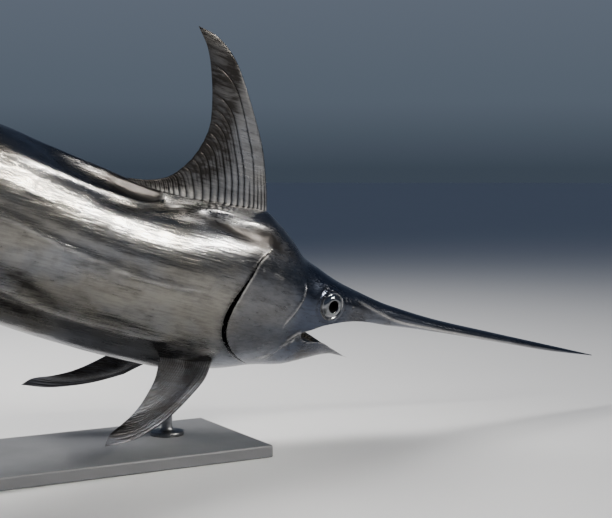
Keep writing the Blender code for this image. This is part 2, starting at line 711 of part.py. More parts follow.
def main():
    for obj in list(bpy.data.objects):
        bpy.data.objects.remove(obj)
    bpy.context.scene.collection.children.link(bpy.data.collections.new(COLLECTION))

    polished = ((0.60, 0.58, 0.56), 0.32)
    silvery = ((0.66, 0.64, 0.61), 0.34)
    body = body_loft("body", ring_places(TAIL_END, BILL_TIP), BELLY)
    grown_body = copy_of(body, "grown_body", GAP)
    fish = bpy.data.objects.new("fish_pose", None)
    bpy.data.collections[COLLECTION].objects.link(fish)
    fish.matrix_world = fish_matrix()

    for obj in make_body_pieces(body).values():
        finish(obj, fish, *polished)
    for obj in make_fins(grown_body):
        finish(obj, fish, *silvery)
    for name, side in (("keel_right", -1), ("keel_left", 1)):
        finish(keel(name, side, grown_body), fish, *polished)
    for name, side in (("eye_right", -1), ("eye_left", 1)):
        finish(eye(name, side), fish, (0.75, 0.73, 0.70), 0.15)

    grown_body.data.transform(fish_matrix())
    finish(stand_base(), None, (0.10, 0.10, 0.11), 0.45)
    for name, fish_x in ROD_PLACES.items():
        finish(stand_rod(name, fish_x, grown_body), None, (0.55, 0.55, 0.56), 0.3)
    remove(body, grown_body)


main()
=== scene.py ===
"""Life-size swordfish sculpture in hammered and polished metal: its looks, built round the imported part."""

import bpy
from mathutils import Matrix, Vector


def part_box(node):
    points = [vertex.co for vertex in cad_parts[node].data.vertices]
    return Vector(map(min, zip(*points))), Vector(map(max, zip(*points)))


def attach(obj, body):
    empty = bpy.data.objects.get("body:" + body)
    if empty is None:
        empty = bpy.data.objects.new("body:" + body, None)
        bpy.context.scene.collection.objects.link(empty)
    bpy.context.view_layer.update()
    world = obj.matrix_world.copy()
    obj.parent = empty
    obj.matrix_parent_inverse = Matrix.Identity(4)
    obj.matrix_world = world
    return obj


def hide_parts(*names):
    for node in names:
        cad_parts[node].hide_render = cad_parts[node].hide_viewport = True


bl_info = {
    "name": "Swordfish sculpture",
    "version": (1, 0, 0),
    "blender": (4, 5, 0),
    "location": "3D View > Sidebar > Swordfish",
    "description": "Hammered metal skin, ribbed fins, polished eyes and plain stand of a swordfish sculpture",
    "category": "Object",
}

import math

import bmesh
import bpy
import numpy as np
from mathutils import Matrix, Vector, noise

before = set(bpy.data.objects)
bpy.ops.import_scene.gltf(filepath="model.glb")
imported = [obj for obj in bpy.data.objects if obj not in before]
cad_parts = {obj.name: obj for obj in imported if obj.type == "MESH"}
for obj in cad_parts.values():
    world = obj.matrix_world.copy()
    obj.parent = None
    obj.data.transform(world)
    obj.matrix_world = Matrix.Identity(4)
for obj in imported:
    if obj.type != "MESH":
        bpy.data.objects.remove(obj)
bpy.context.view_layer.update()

# Pose of the fish on its stand. The fish is drawn with +X to the tip of its bill, +Y to its left
# and +Z to its back
FISH_PLACE = (0.46, 0.0, 0.385)
NOSE_DOWN = math.radians(15.6)
BANK = math.radians(10.2)
BEND_START = -0.30
BEND_RADIUS = 4.4

# Lines of the body, each a list of (x, value) from the tail to the tip of the bill
BACK = (
    (-1.53, 0.108), (-1.42, 0.112), (-1.28, 0.14), (-1.10, 0.186), (-0.90, 0.222), (-0.72, 0.231),
    (-0.56, 0.214), (-0.43, 0.201), (-0.30, 0.188), (-0.19, 0.194), (-0.09, 0.206), (0.0, 0.214),
    (0.05, 0.194), (0.10, 0.164), (0.15, 0.128), (0.20, 0.112), (0.275, 0.09), (0.35, 0.077),
    (0.45, 0.064), (0.60, 0.059), (0.80, 0.065), (1.0, 0.0725), (1.193, 0.0795),
)
BELLY = (
    (-1.53, 0.042), (-1.42, 0.032), (-1.28, 0.0), (-1.10, -0.065), (-0.90, -0.138), (-0.72, -0.188),
    (-0.50, -0.218), (-0.30, -0.231), (-0.17, -0.232), (-0.08, -0.219), (0.0, -0.2045), (0.09, -0.176),
    (0.18, -0.156), (0.24, -0.115), (0.30, -0.067), (0.36, -0.022), (0.42, 0.002), (0.51, 0.016),
    (0.61, 0.026), (0.85, 0.045), (1.0, 0.0555), (1.193, 0.0775),
)
CHIN = (
    (0.05, -0.191), (0.09, -0.176), (0.18, -0.156), (0.245, -0.128), (0.293, -0.1075), (0.328, -0.0995),
    (0.367, -0.099), (0.38, -0.1),
)
AXIS = (
    (-1.53, 0.075), (-1.28, 0.068), (-0.90, 0.045), (-0.50, 0.015), (-0.20, 0.0), (0.05, 0.0), (0.16, 0.012),
    (0.24, 0.028), (0.32, 0.033), (0.45, 0.037), (0.61, 0.0425), (0.85, 0.055), (1.0, 0.064), (1.193, 0.0785),
)
HALF_WIDTH = (
    (-1.53, 0.026), (-1.42, 0.03), (-1.28, 0.046), (-1.10, 0.076), (-0.90, 0.108), (-0.70, 0.127),
    (-0.45, 0.137), (-0.20, 0.136), (-0.05, 0.13), (0.05, 0.117), (0.13, 0.101), (0.20, 0.087),
    (0.25, 0.078), (0.30, 0.062), (0.36, 0.046), (0.43, 0.036), (0.55, 0.031), (0.75, 0.0255),
    (0.95, 0.019), (1.10, 0.012), (1.193, 0.002),
)
CREST = ((-0.72, 0.0), (-0.56, 0.014), (-0.40, 0.024), (-0.26, 0.022), (-0.12, 0.008), (-0.02, 0.0))
CREST_HALF_WIDTH = 0.022
BACK_CROWDING = 1.3
FULLNESS = 0.93
# Rings of the skin: (up to x, spacing)
SKIN_START = -1.53
SKIN_RINGS = ((-0.95, 0.014), (-0.10, 0.0072), (0.40, 0.003), (1.192, 0.014))
SKIN_AROUND = 236

# Gill slit from top to bottom: rear edge of the cover, with the slit's width behind it
COVER_REAR = (
    (0.014, 0.131, 0.001), (-0.009, 0.110, 0.0012), (-0.020, 0.093, 0.0015), (-0.030, 0.063, 0.0021),
    (-0.040, 0.038, 0.003), (-0.048, 0.013, 0.0044), (-0.055, -0.015, 0.0066), (-0.058, -0.040, 0.0086),
    (-0.057, -0.060, 0.0094), (-0.053, -0.080, 0.0088), (-0.044, -0.099, 0.0076), (-0.028, -0.117, 0.0062),
    (-0.006, -0.134, 0.0052), (0.018, -0.147, 0.004), (0.042, -0.156, 0.003), (0.066, -0.164, 0.0015),
)
COVER_EDGE = tuple((x, z) for x, z, _ in COVER_REAR)
SLIT_INNER = 0.052
BEHIND_SLIT_DEPTH = 0.005

# Mouth: corner, roof and the jaw's root, and the rim of the lower jaw
MOUTH_CORNER = (0.171, -0.052)
MOUTH_ROOF = (
    (0.203, -0.037), (0.231, -0.022), (0.263, -0.0105), (0.295, -0.002), (0.33, 0.005), (0.364, 0.0092),
    (0.40, 0.0112), (0.44, 0.0117), (0.476, 0.0112),
)
JAW_RIM = (
    (0.178, -0.0665), (0.2025, -0.0725), (0.255, -0.0675), (0.315, -0.084), (0.345, -0.0915),
    (0.3705, -0.0988),
)
JAW_ROOT = ((0.131, -0.099), (0.108, -0.145), (0.10, -0.22))
JAW_START = 0.085
JAW_TIP = 0.379
JAW_RINGS = 110
JAW_AROUND = 120
# Gap between the jaw's root and the skin behind it
JAW_CLEARANCE = 0.0006
# Hollow between the rims of the lower jaw: its ends, its depth and the sheet beside and below it
JAW_HOLLOW_ENDS = (0.17, 0.367)
JAW_HOLLOW_DEPTH = 0.026
JAW_SHEET = 0.004

# Raised and sunken lines of the skin in side view, as (x, z)
LATERAL_LINE = (
    (-1.40, 0.078), (-1.10, 0.086), (-0.86, 0.072), (-0.72, 0.054), (-0.644, 0.043), (-0.587, 0.033),
    (-0.527, 0.020), (-0.468, 0.011), (-0.409, 0.003), (-0.346, -0.006), (-0.27, -0.0115),
    (-0.199, -0.009), (-0.145, -0.003), (-0.10, 0.001),
)
LOWER_SEAM = (
    (-1.15, -0.03), (-0.90, -0.07), (-0.75, -0.093), (-0.617, -0.112), (-0.554, -0.128), (-0.475, -0.141),
    (-0.37, -0.149), (-0.291, -0.153), (-0.227, -0.151), (-0.162, -0.148),
)
REAR_CREASE = ((-0.650, 0.124), (-0.621, 0.114), (-0.589, 0.110), (-0.555, 0.108))
CHEEK_RIDGE = (
    (0.139, 0.084), (0.142, 0.064), (0.142, 0.048), (0.139, 0.033), (0.134, 0.019), (0.128, 0.002),
    (0.121, -0.012), (0.113, -0.026), (0.108, -0.041), (0.107, -0.056),
)
CHEEK_DEPTH = 0.0025
MAXILLA = ((0.136, -0.081), (0.149, -0.066), (0.159, -0.056), (0.171, -0.049))
JAW_LINE = ((0.126, -0.099), (0.132, -0.095), (0.147, -0.081), (0.161, -0.071), (0.178, -0.0665))
BROW_CREASE = ((0.198, 0.083), (0.210, 0.080), (0.224, 0.073))
BILL_CREASE = (
    (0.290, 0.067), (0.314, 0.063), (0.336, 0.058), (0.371, 0.051), (0.402, 0.044), (0.427, 0.040),
    (0.447, 0.035), (0.49, 0.032), (0.60, 0.037), (0.85, 0.051), (1.1, 0.066),
)
NOSTRIL_FOLDS = (
    ((0.281, 0.064), (0.286, 0.050)), ((0.295, 0.064), (0.299, 0.051)), ((0.309, 0.042), (0.317, 0.040)),
)
COVER_FOLDS = (((-0.007, 0.083), (0.003, 0.080)), ((0.025, 0.0805), (0.045, 0.076), (0.068, 0.071)))
COVER_STREAK = ((0.076, -0.143), (0.098, -0.136), (0.117, -0.119))
# Place above the pectoral fin's root where a highlight is painted on the skin
PECTORAL_SEAT = ((-0.20, -0.158), (-0.11, -0.154), (-0.03, -0.144))
# Each line with its height as a share of the raised lines' height, its half width, the shade painted beside
# it, the highlight painted on it, partly as wear, and the share of its length over which each end fades
SIDE_LINES = (
    (LATERAL_LINE, 0.5, 0.0044, 0.14, 0.4, 0.08),
    (LOWER_SEAM, 0.6, 0.0062, 0.12, 0.25, 0.08),
    (REAR_CREASE, 0.45, 0.0045, 0.0, 0.5, 0.3),
    (CHEEK_RIDGE, 0.9, 0.0032, 0.2, 0.5, 0.22),
    (MAXILLA, 0.7, 0.003, 0.3, 0.8, 0.08),
    (JAW_LINE, 0.7, 0.003, 0.45, 0.7, 0.08),
    (BROW_CREASE, 0.25, 0.0028, 0.2, 0.35, 0.3),
    (BILL_CREASE, 0.55, 0.0036, 0.0, 0.75, 0.08),
    (COVER_STREAK, 0.3, 0.004, 0.0, 0.35, 0.3),
    (PECTORAL_SEAT, 0.0, 0.013, 0.0, 0.6, 0.2),
    *((fold, -0.3, 0.0017, 0.5, 0.5, 0.2) for fold in NOSTRIL_FOLDS),
    *((fold, 0.3, 0.0026, 0.0, 0.7, 0.25) for fold in COVER_FOLDS),
)
# Patches of painted shade on the lower flank
DARK_PATCHES = (
    ((-0.66, -0.055), (-0.59, -0.078), (-0.52, -0.103), (-0.44, -0.128)), ((-0.64, -0.14), (-0.50, -0.165)),
)
PATCH_HALF_WIDTH = 0.015
# Lines above which the skin is drawn in and darkened with painted shade, with the height over the line and
# the half width
DRAWN_IN = ((LATERAL_LINE, 0.020, 0.014), (LOWER_SEAM, 0.022, 0.015))
DRAWN_DEPTH = 0.0018

# Lines of the back in top view, as (x, distance from the middle)
CHANNEL_LIP = (
    (-0.72, 0.081), (-0.60, 0.079), (-0.542, 0.076), (-0.478, 0.075), (-0.437, 0.071), (-0.383, 0.066),
    (-0.341, 0.059), (-0.303, 0.045), (-0.280, 0.033), (-0.262, 0.022),
)
CHANNEL_INNER = 0.010
CHANNEL_DEPTH = 0.010
OUTSIDE_LIP_DEPTH = 0.004
FAIRING = ((-0.275, 0.030), (-0.245, 0.037), (-0.208, 0.055))
SHOULDER_ROLL = (
    (-0.20, 0.034), (-0.167, 0.037), (-0.149, 0.042), (-0.125, 0.050), (-0.101, 0.058), (-0.068, 0.066),
    (-0.033, 0.071), (0.01, 0.070),
)
SHOULDER_HOLLOW = (
    (-0.22, 0.056), (-0.171, 0.064), (-0.136, 0.078), (-0.096, 0.087), (-0.056, 0.091), (-0.014, 0.090),
    (0.04, 0.082), (0.08, 0.072), (0.12, 0.060),
)
HOLLOW_HALF_WIDTH = 0.014
# Each line with its height, its half width and the highlight painted on it
SHOULDER_LINES = (
    (FAIRING, 0.002, 0.014, 0.3),
    (SHOULDER_ROLL, 0.0055, 0.013, 0.3),
    (SHOULDER_HOLLOW, -0.006, HOLLOW_HALF_WIDTH, 0.0),
)
TOP_FADE = 0.3

EYE_CENTRE = (0.236, 0.0795, 0.034)
EYE_FORWARD = math.radians(9.0)
EYE_UP = math.radians(2.0)
EYE_SOCKET_RADIUS = 0.0358
# Rings round an eye: radius, half width, height and painted shade
SOCKET_RINGS = (
    (0.0385, 0.0035, 0.0011, 0.0), (0.047, 0.005, -0.0010, 0.0), (0.0365, 0.0022, 0.0, 0.5),
    (0.047, 0.004, 0.0, 0.3),
)

# First dorsal fin, in side view
DORSAL_BASE = ((0.015, 0.188), (-0.09, 0.182), (-0.195, 0.168), (-0.30, 0.166), (-0.345, 0.17))
DORSAL_LEADING = (
    (0.015, 0.188), (0.009, 0.225), (-0.0175, 0.29), (-0.0535, 0.361), (-0.113, 0.444), (-0.177, 0.522),
    (-0.218, 0.556), (-0.262, 0.5765), (-0.3105, 0.583),
)
DORSAL_TRAILING = (
    (-0.3105, 0.583), (-0.27, 0.541), (-0.2369, 0.4776), (-0.2128, 0.4103), (-0.204, 0.3627),
    (-0.212, 0.3098), (-0.23, 0.268), (-0.264, 0.226), (-0.31, 0.204), (-0.365, 0.194),
)
# Share of the ribs passed, against the share of the base and of the trailing edge where they stand
DORSAL_FEET = (
    (0.0, 0.0), (0.2, 0.152), (0.36, 0.337), (0.48, 0.496), (0.64, 0.704), (0.84, 0.863), (1.0, 1.0),
)
DORSAL_ENDS = (
    (0.0, 0.0), (0.12, 0.12), (0.2, 0.25), (0.32, 0.45), (0.44, 0.60), (0.56, 0.745), (0.84, 0.90),
    (1.0, 1.0),
)
SHORT_GROOVES = (1, 2, 3, 5)

# Pectoral fin of the right side
PECTORAL_BASE = ((-0.032, -0.062, -0.155), (-0.10, -0.062, -0.178), (-0.178, -0.06, -0.18))
PECTORAL_LEADING = (
    (-0.032, -0.062, -0.155), (-0.068, -0.13, -0.203), (-0.11, -0.172, -0.242), (-0.171, -0.222, -0.291),
    (-0.21, -0.248, -0.316), (-0.272, -0.28, -0.346), (-0.337, -0.295, -0.366),
)
PECTORAL_TRAILING = (
    (-0.337, -0.295, -0.366), (-0.325, -0.272, -0.348), (-0.292, -0.238, -0.331), (-0.259, -0.21, -0.308),
    (-0.228, -0.178, -0.276), (-0.196, -0.132, -0.232), (-0.179, -0.085, -0.192),
)
LEFT_DROP = math.radians(11.0)
LEFT_SWEEP = math.radians(16.0)
LEFT_TWIST = math.radians(26.0)
LEFT_REACH = 0.15
PECTORAL_HINGE = (-0.105, 0.065, -0.175)

# Rear fins and tail, in side view before the bend
ANAL_BASE = ((-0.872, -0.116), (-0.95, -0.09), (-1.035, -0.058))
ANAL_LEADING = ((-0.872, -0.116), (-0.93, -0.187), (-1.0, -0.26), (-1.085, -0.313), (-1.134, -0.327))
ANAL_TRAILING = ((-1.134, -0.327), (-1.095, -0.275), (-1.06, -0.20), (-1.047, -0.135), (-1.05, -0.08))
SECOND_DORSAL_BASE = ((-1.252, 0.13), (-1.28, 0.124), (-1.308, 0.118))
SECOND_DORSAL_LEADING = ((-1.252, 0.13), (-1.285, 0.173), (-1.33, 0.205), (-1.367, 0.213))
SECOND_DORSAL_TRAILING = ((-1.367, 0.213), (-1.34, 0.188), (-1.322, 0.16), (-1.314, 0.13))
SECOND_ANAL_BASE = ((-1.238, 0.006), (-1.268, 0.012), (-1.298, 0.018))
SECOND_ANAL_LEADING = ((-1.238, 0.006), (-1.272, -0.034), (-1.318, -0.062), (-1.354, -0.069))
SECOND_ANAL_TRAILING = ((-1.354, -0.069), (-1.328, -0.046), (-1.31, -0.02), (-1.303, 0.006))
TAIL_MIDDLE = 0.075
LOBE_BASE = ((-1.478, 0.0), (-1.51, 0.0), (-1.548, 0.0))
LOBE_LEADING = (
    (-1.478, 0.0), (-1.497, 0.045), (-1.545, 0.14), (-1.62, 0.255), (-1.7, 0.324), (-1.773, 0.360),
)
LOBE_TRAILING = (
    (-1.773, 0.360), (-1.725, 0.315), (-1.66, 0.23), (-1.612, 0.14), (-1.578, 0.06), (-1.562, 0.0),
)
KEEL_HALF_SIZE = (0.098, 0.030, 0.0062)
KEEL_X = -1.418
KEEL_ASIDE = 0.0255

STAND_TOP = 0.03
# How far a rod runs into the body past its solid, and its foot as (radius, height over the base)
ROD_INTO_BODY = 0.004
ROD_FOOT = (
    (0.0138, 0.024), (0.0146, 0.018), (0.0172, 0.0128), (0.022, 0.0105), (0.030, 0.0098), (0.0395, 0.0096),
    (0.0410, 0.0088), (0.0417, 0.0072), (0.0417, 0.0004), (0.0, 0.0004),
)
SKIN_NODES = ("torso", "tail_stalk", "head", "bill", "gill_cover_left", "gill_cover_right")


class SculptureSizes(bpy.types.PropertyGroup):
    """Sizes of the metal work."""

    hammer_depth: bpy.props.FloatProperty(
        name="Hammer marks", description="Depth of the hammered ripples in the skin", unit="LENGTH",
        default=0.0006,
    )
    line_height: bpy.props.FloatProperty(
        name="Raised lines", description="Height of the raised lines on flank and cheek", unit="LENGTH",
        default=0.0032,
    )
    cover_lift: bpy.props.FloatProperty(
        name="Gill cover lift", description="How far the gill cover's rear edge stands proud", unit="LENGTH",
        default=0.005,
    )
    dorsal_ribs: bpy.props.IntProperty(
        name="Dorsal ribs", description="Ribs in the first dorsal fin", default=25,
    )
    pectoral_ribs: bpy.props.IntProperty(
        name="Pectoral ribs", description="Ribs in a pectoral fin", default=24,
    )
    tail_ribs: bpy.props.IntProperty(name="Tail ribs", description="Ribs in a tail lobe", default=22)


class SculptureColours(bpy.types.PropertyGroup):
    """Colours of the metal and of the stage."""

    metal: bpy.props.FloatVectorProperty(
        name="Metal", description="Polished sheet metal", subtype="COLOR", default=(0.200, 0.207, 0.222)
    )
    # Painted reflection of dark blue sky: head, bill and pectorals are mixed towards this darker, bluer
    # colour
    sky_reflection_colour: bpy.props.FloatVectorProperty(
        name="Head metal", description="Darker, bluer metal of head and bill", subtype="COLOR",
        default=(0.072, 0.085, 0.118),
    )
    # Colour of wear on raised lines and edges, and of the highlights painted on lines, ribs and edges
    polish: bpy.props.FloatVectorProperty(
        name="Polish", description="Raised lines and edges worn bright", subtype="COLOR",
        default=(0.62, 0.60, 0.57),
    )
    # Colour of dirt and patina, and of the shade painted beside raised lines, in hollows and grooves, behind
    # the gill slits and over the fins
    patina: bpy.props.FloatVectorProperty(
        name="Patina", description="Dark patches and grooves", subtype="COLOR", default=(0.027, 0.025, 0.024)
    )
    base_paint: bpy.props.FloatVectorProperty(
        name="Base paint", description="Paint of the stand's base", subtype="COLOR",
        default=(0.12, 0.122, 0.127),
    )
    floor: bpy.props.FloatVectorProperty(
        name="Floor", description="Studio floor", subtype="COLOR", default=(0.62, 0.62, 0.62)
    )


# Curves


def curve_at(points, at):
    """Values on a smooth curve with no overshoot through (place, value) points."""
    x = np.array([p[0] for p in points], float)
    y = np.array([p[1] for p in points], float)
    if x[0] > x[-1]:
        x, y = x[::-1], y[::-1]
    at = np.clip(np.asarray(at, float), x[0], x[-1])
    slope = np.diff(y) / np.diff(x)
    before, after = slope[:-1], slope[1:]
    product = before * after
    inner = np.where(product > 0, 2 * product / np.where(before + after == 0, 1, before + after), 0.0)
    tangent = np.concatenate((slope[:1], inner, slope[-1:]))
    k = np.clip(np.searchsorted(x, at, side="right") - 1, 0, len(slope) - 1)
    width = x[k + 1] - x[k]
    t = (at - x[k]) / width
    return (
        y[k] * (1 + 2 * t) * (1 - t) ** 2 + tangent[k] * width * t * (1 - t) ** 2
        + y[k + 1] * t * t * (3 - 2 * t) - tangent[k + 1] * width * t * t * (1 - t)
    )


def along(points, share):
    """Points at shares of the length of a curve through the given points, which may turn back on itself."""
    points = np.array(points, float)
    reach = np.concatenate(([0.0], np.cumsum(np.linalg.norm(np.diff(points, axis=0), axis=1))))
    at = np.clip(np.asarray(share, float), 0, 1) * reach[-1]
    last = len(points) - 1
    k = np.clip(np.searchsorted(reach, at, side="right") - 1, 0, last - 1)

    def tangent(index):
        low, high = np.maximum(index - 1, 0), np.minimum(index + 1, last)
        return (points[high] - points[low]) / (reach[high] - reach[low])[..., None]

    width = (reach[k + 1] - reach[k])[..., None]
    t = (at - reach[k])[..., None] / width
    return (
        points[k] * (1 + 2 * t) * (1 - t) ** 2 + tangent(k) * width * t * (1 - t) ** 2
        + points[k + 1] * t * t * (3 - 2 * t) - tangent(k + 1) * width * t * t * (1 - t)
    )


def ramp(value, low, high):
    """Smooth step from 0 at low to 1 at high."""
    t = np.clip((value - low) / (high - low), 0, 1)
    return t * t * (3 - 2 * t)


def between(value, rise, fall):
    """Smooth share that rises from 0 to 1 over one pair of values and falls back over another."""
    return ramp(value, *rise) * (1 - ramp(value, *fall))


def bell(gap, half_width):
    """1 where the gap is 0, dying away smoothly past the half width."""
    return np.exp(-((gap / half_width) ** 2))


def slit_width(share):
    """Width of the gill slit at shares of the way along it from the top."""
    return np.interp(share, np.linspace(0, 1, len(COVER_REAR)), [width for *_, width in COVER_REAR])


def from_line(x, z, line):
    """Distance from a line in side view, and the share of the line's length where it is nearest."""
    line = np.array(line, float)
    best = np.full(np.shape(x), 9.0)
    share = np.zeros(np.shape(x))
    lengths = np.linalg.norm(np.diff(line, axis=0), axis=1)
    passed = 0.0
    for start, end, length in zip(line, line[1:], lengths):
        step = (end - start) / length
        t = np.clip((x - start[0]) * step[0] + (z - start[1]) * step[1], 0, length)
        gap = np.hypot(x - start[0] - step[0] * t, z - start[1] - step[1] * t)
        nearer = gap < best
        best = np.where(nearer, gap, best)
        share = np.where(nearer, (passed + t) / lengths.sum(), share)
        passed += length
    return best, np.clip(share, 0, 1)


def noise_field(points, scale, seed):
    """Smooth noise between about -1 and 1 at each point, with its own scale along each axis."""
    flat = points.reshape(-1, 3) * np.array(scale) + seed
    return np.array([noise.noise(Vector(p)) for p in flat]).reshape(points.shape[:-1])


def bent(points):
    """Points of the straight fish, moved to where the curved rear carries them."""
    x, y, z = points[..., 0], points[..., 1], points[..., 2]
    angle = np.maximum(BEND_START - x, 0) / BEND_RADIUS
    radius = BEND_RADIUS + y
    rear = x < BEND_START
    return np.stack((
        np.where(rear, BEND_START - radius * np.sin(angle), x),
        np.where(rear, y - radius * (1 - np.cos(angle)), y),
        z,
    ), axis=-1)


def fish_matrix():
    place = Matrix.Translation(FISH_PLACE)
    return place @ Matrix.Rotation(NOSE_DOWN, 4, "Y") @ Matrix.Rotation(BANK, 4, "X")


def eye_frame(side):
    """Place and direction of an eye: its own +Z looks out of the head."""
    out = Vector((math.sin(EYE_FORWARD), side * math.cos(EYE_FORWARD), math.sin(EYE_UP)))
    turn = out.to_track_quat("Z", "Y").to_matrix().to_4x4()
    return Matrix.Translation((EYE_CENTRE[0], side * EYE_CENTRE[1], EYE_CENTRE[2])) @ turn


# Mesh work


def grid_mesh(columns, rows):
    """Fresh grid, and for each of its vertices the column and row that it stands in."""
    shape = bmesh.new()
    bmesh.ops.create_grid(shape, x_segments=columns, y_segments=rows, size=0.5)
    place = np.array([vert.co for vert in shape.verts])
    column = np.rint((place[:, 0] + 0.5) * columns).astype(int)
    row = np.rint((place[:, 1] + 0.5) * rows).astype(int)
    return shape, column, row


def outwards(shape):
    bmesh.ops.recalc_face_normals(shape, faces=shape.faces)
    if shape.calc_volume(signed=True) < 0:
        bmesh.ops.reverse_faces(shape, faces=shape.faces)


def piece(name, shape, matrix=None):
    """Object made of a finished bmesh, moved into the stand's frame where a matrix is given."""
    if matrix is not None:
        shape.transform(matrix)
    mesh = bpy.data.meshes.new(name)
    shape.to_mesh(mesh)
    shape.free()
    obj = bpy.data.objects.new(name, mesh)
    bpy.context.scene.collection.objects.link(obj)
    return obj


def apply_modifiers(obj):
    bpy.context.view_layer.update()
    graph = bpy.context.evaluated_depsgraph_get()
    mesh = bpy.data.meshes.new_from_object(obj.evaluated_get(graph))
    obj.modifiers.clear()
    obj.data = mesh


def cut(obj, cutter, operation="DIFFERENCE"):
    """Cuts a solid by another one, which is removed."""
    boolean = obj.modifiers.new("cut", "BOOLEAN")
    boolean.operation = operation
    boolean.object = cutter
    boolean.solver = "MANIFOLD"
    apply_modifiers(obj)
    bpy.data.objects.remove(cutter)
    if not obj.data.polygons:
        raise RuntimeError(f"the cut left nothing of {obj.name}")


def side_prism(outline, low_y, high_y):
    """Solid with the given outline in side view, from one side distance to another."""
    shape = bmesh.new()
    face = shape.faces.new([shape.verts.new((x, low_y, z)) for x, z in outline])
    raised = bmesh.ops.extrude_face_region(shape, geom=[face])["geom"]
    verts = [part for part in raised if isinstance(part, bmesh.types.BMVert)]
    bmesh.ops.translate(shape, vec=(0, high_y - low_y, 0), verts=verts)
    bmesh.ops.triangulate(shape, faces=shape.faces)
    outwards(shape)
    return piece("cutter", shape)


def keep_largest(obj):
    """Leaves only the closed surface with the most faces."""
    shape = bmesh.new()
    shape.from_mesh(obj.data)
    waiting = set(shape.faces)
    surfaces = []
    while waiting:
        found = [waiting.pop()]
        for face in found:
            for edge in face.edges:
                for near in edge.link_faces:
                    if near in waiting:
                        waiting.remove(near)
                        found.append(near)
        surfaces.append(found)
    surfaces.sort(key=len)
    scraps = [face for surface in surfaces[:-1] for face in surface]
    bmesh.ops.delete(shape, geom=scraps, context="FACES")
    shape.to_mesh(obj.data)
    shape.free()


def finish(obj, material, *nodes, slot):
    """Shades a piece, gives it its finish and hands it to the frame."""
    if material:
        obj.data.materials.clear()
        obj.data.materials.append(material)
    obj.data.shade_smooth()
    obj.data.set_sharp_from_angle(angle=math.radians(42))
    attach(obj, "root")
    if nodes:
        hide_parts(*nodes)
    return obj


# Skin


def ring_places(start, spacings):
    places = [start]
    for limit, spacing in spacings:
        count = max(round((limit - places[-1]) / spacing), 1)
        places += list(np.linspace(places[-1], limit, count + 1)[1:])
    return np.array(places)


def skin_points(x, share, belly):
    """Points of the plain skin before the bend, for arrays of x and of the share round the ring."""
    angle = np.pi * np.abs(share) ** BACK_CROWDING
    axis = curve_at(AXIS, x)
    inside = (x > CREST[0][0]) & (x < CREST[-1][0])
    crest = np.where(inside, curve_at(CREST, x), 0.0)
    y = curve_at(HALF_WIDTH, x) * np.clip(np.sin(angle), 0, 1) ** FULLNESS
    back = axis + (curve_at(BACK, x) - crest - axis) * np.cos(angle) + crest * bell(y, CREST_HALF_WIDTH)
    low = axis + (axis - curve_at(belly, x)) * np.cos(angle)
    return np.stack((x, np.sign(share) * y, np.where(angle < np.pi / 2, back, low)), axis=-1)


def surface_normals(points):
    """Outward normals of a net of points that runs along the body and then round it."""
    lengthwise = np.gradient(points, axis=0)
    padded = np.concatenate((points[:, -2:-1], points, points[:, 1:2]), axis=1)
    crosswise = (padded[:, 2:] - padded[:, :-2])
    normal = np.cross(crosswise, lengthwise)
    size = np.linalg.norm(normal, axis=-1, keepdims=True)
    normal /= np.maximum(size, 1e-12)
    outward = points - np.mean(points[:, :-1], axis=1, keepdims=True)
    flip = np.sum(normal * outward, axis=-1).mean() < 0
    return -normal if flip else normal


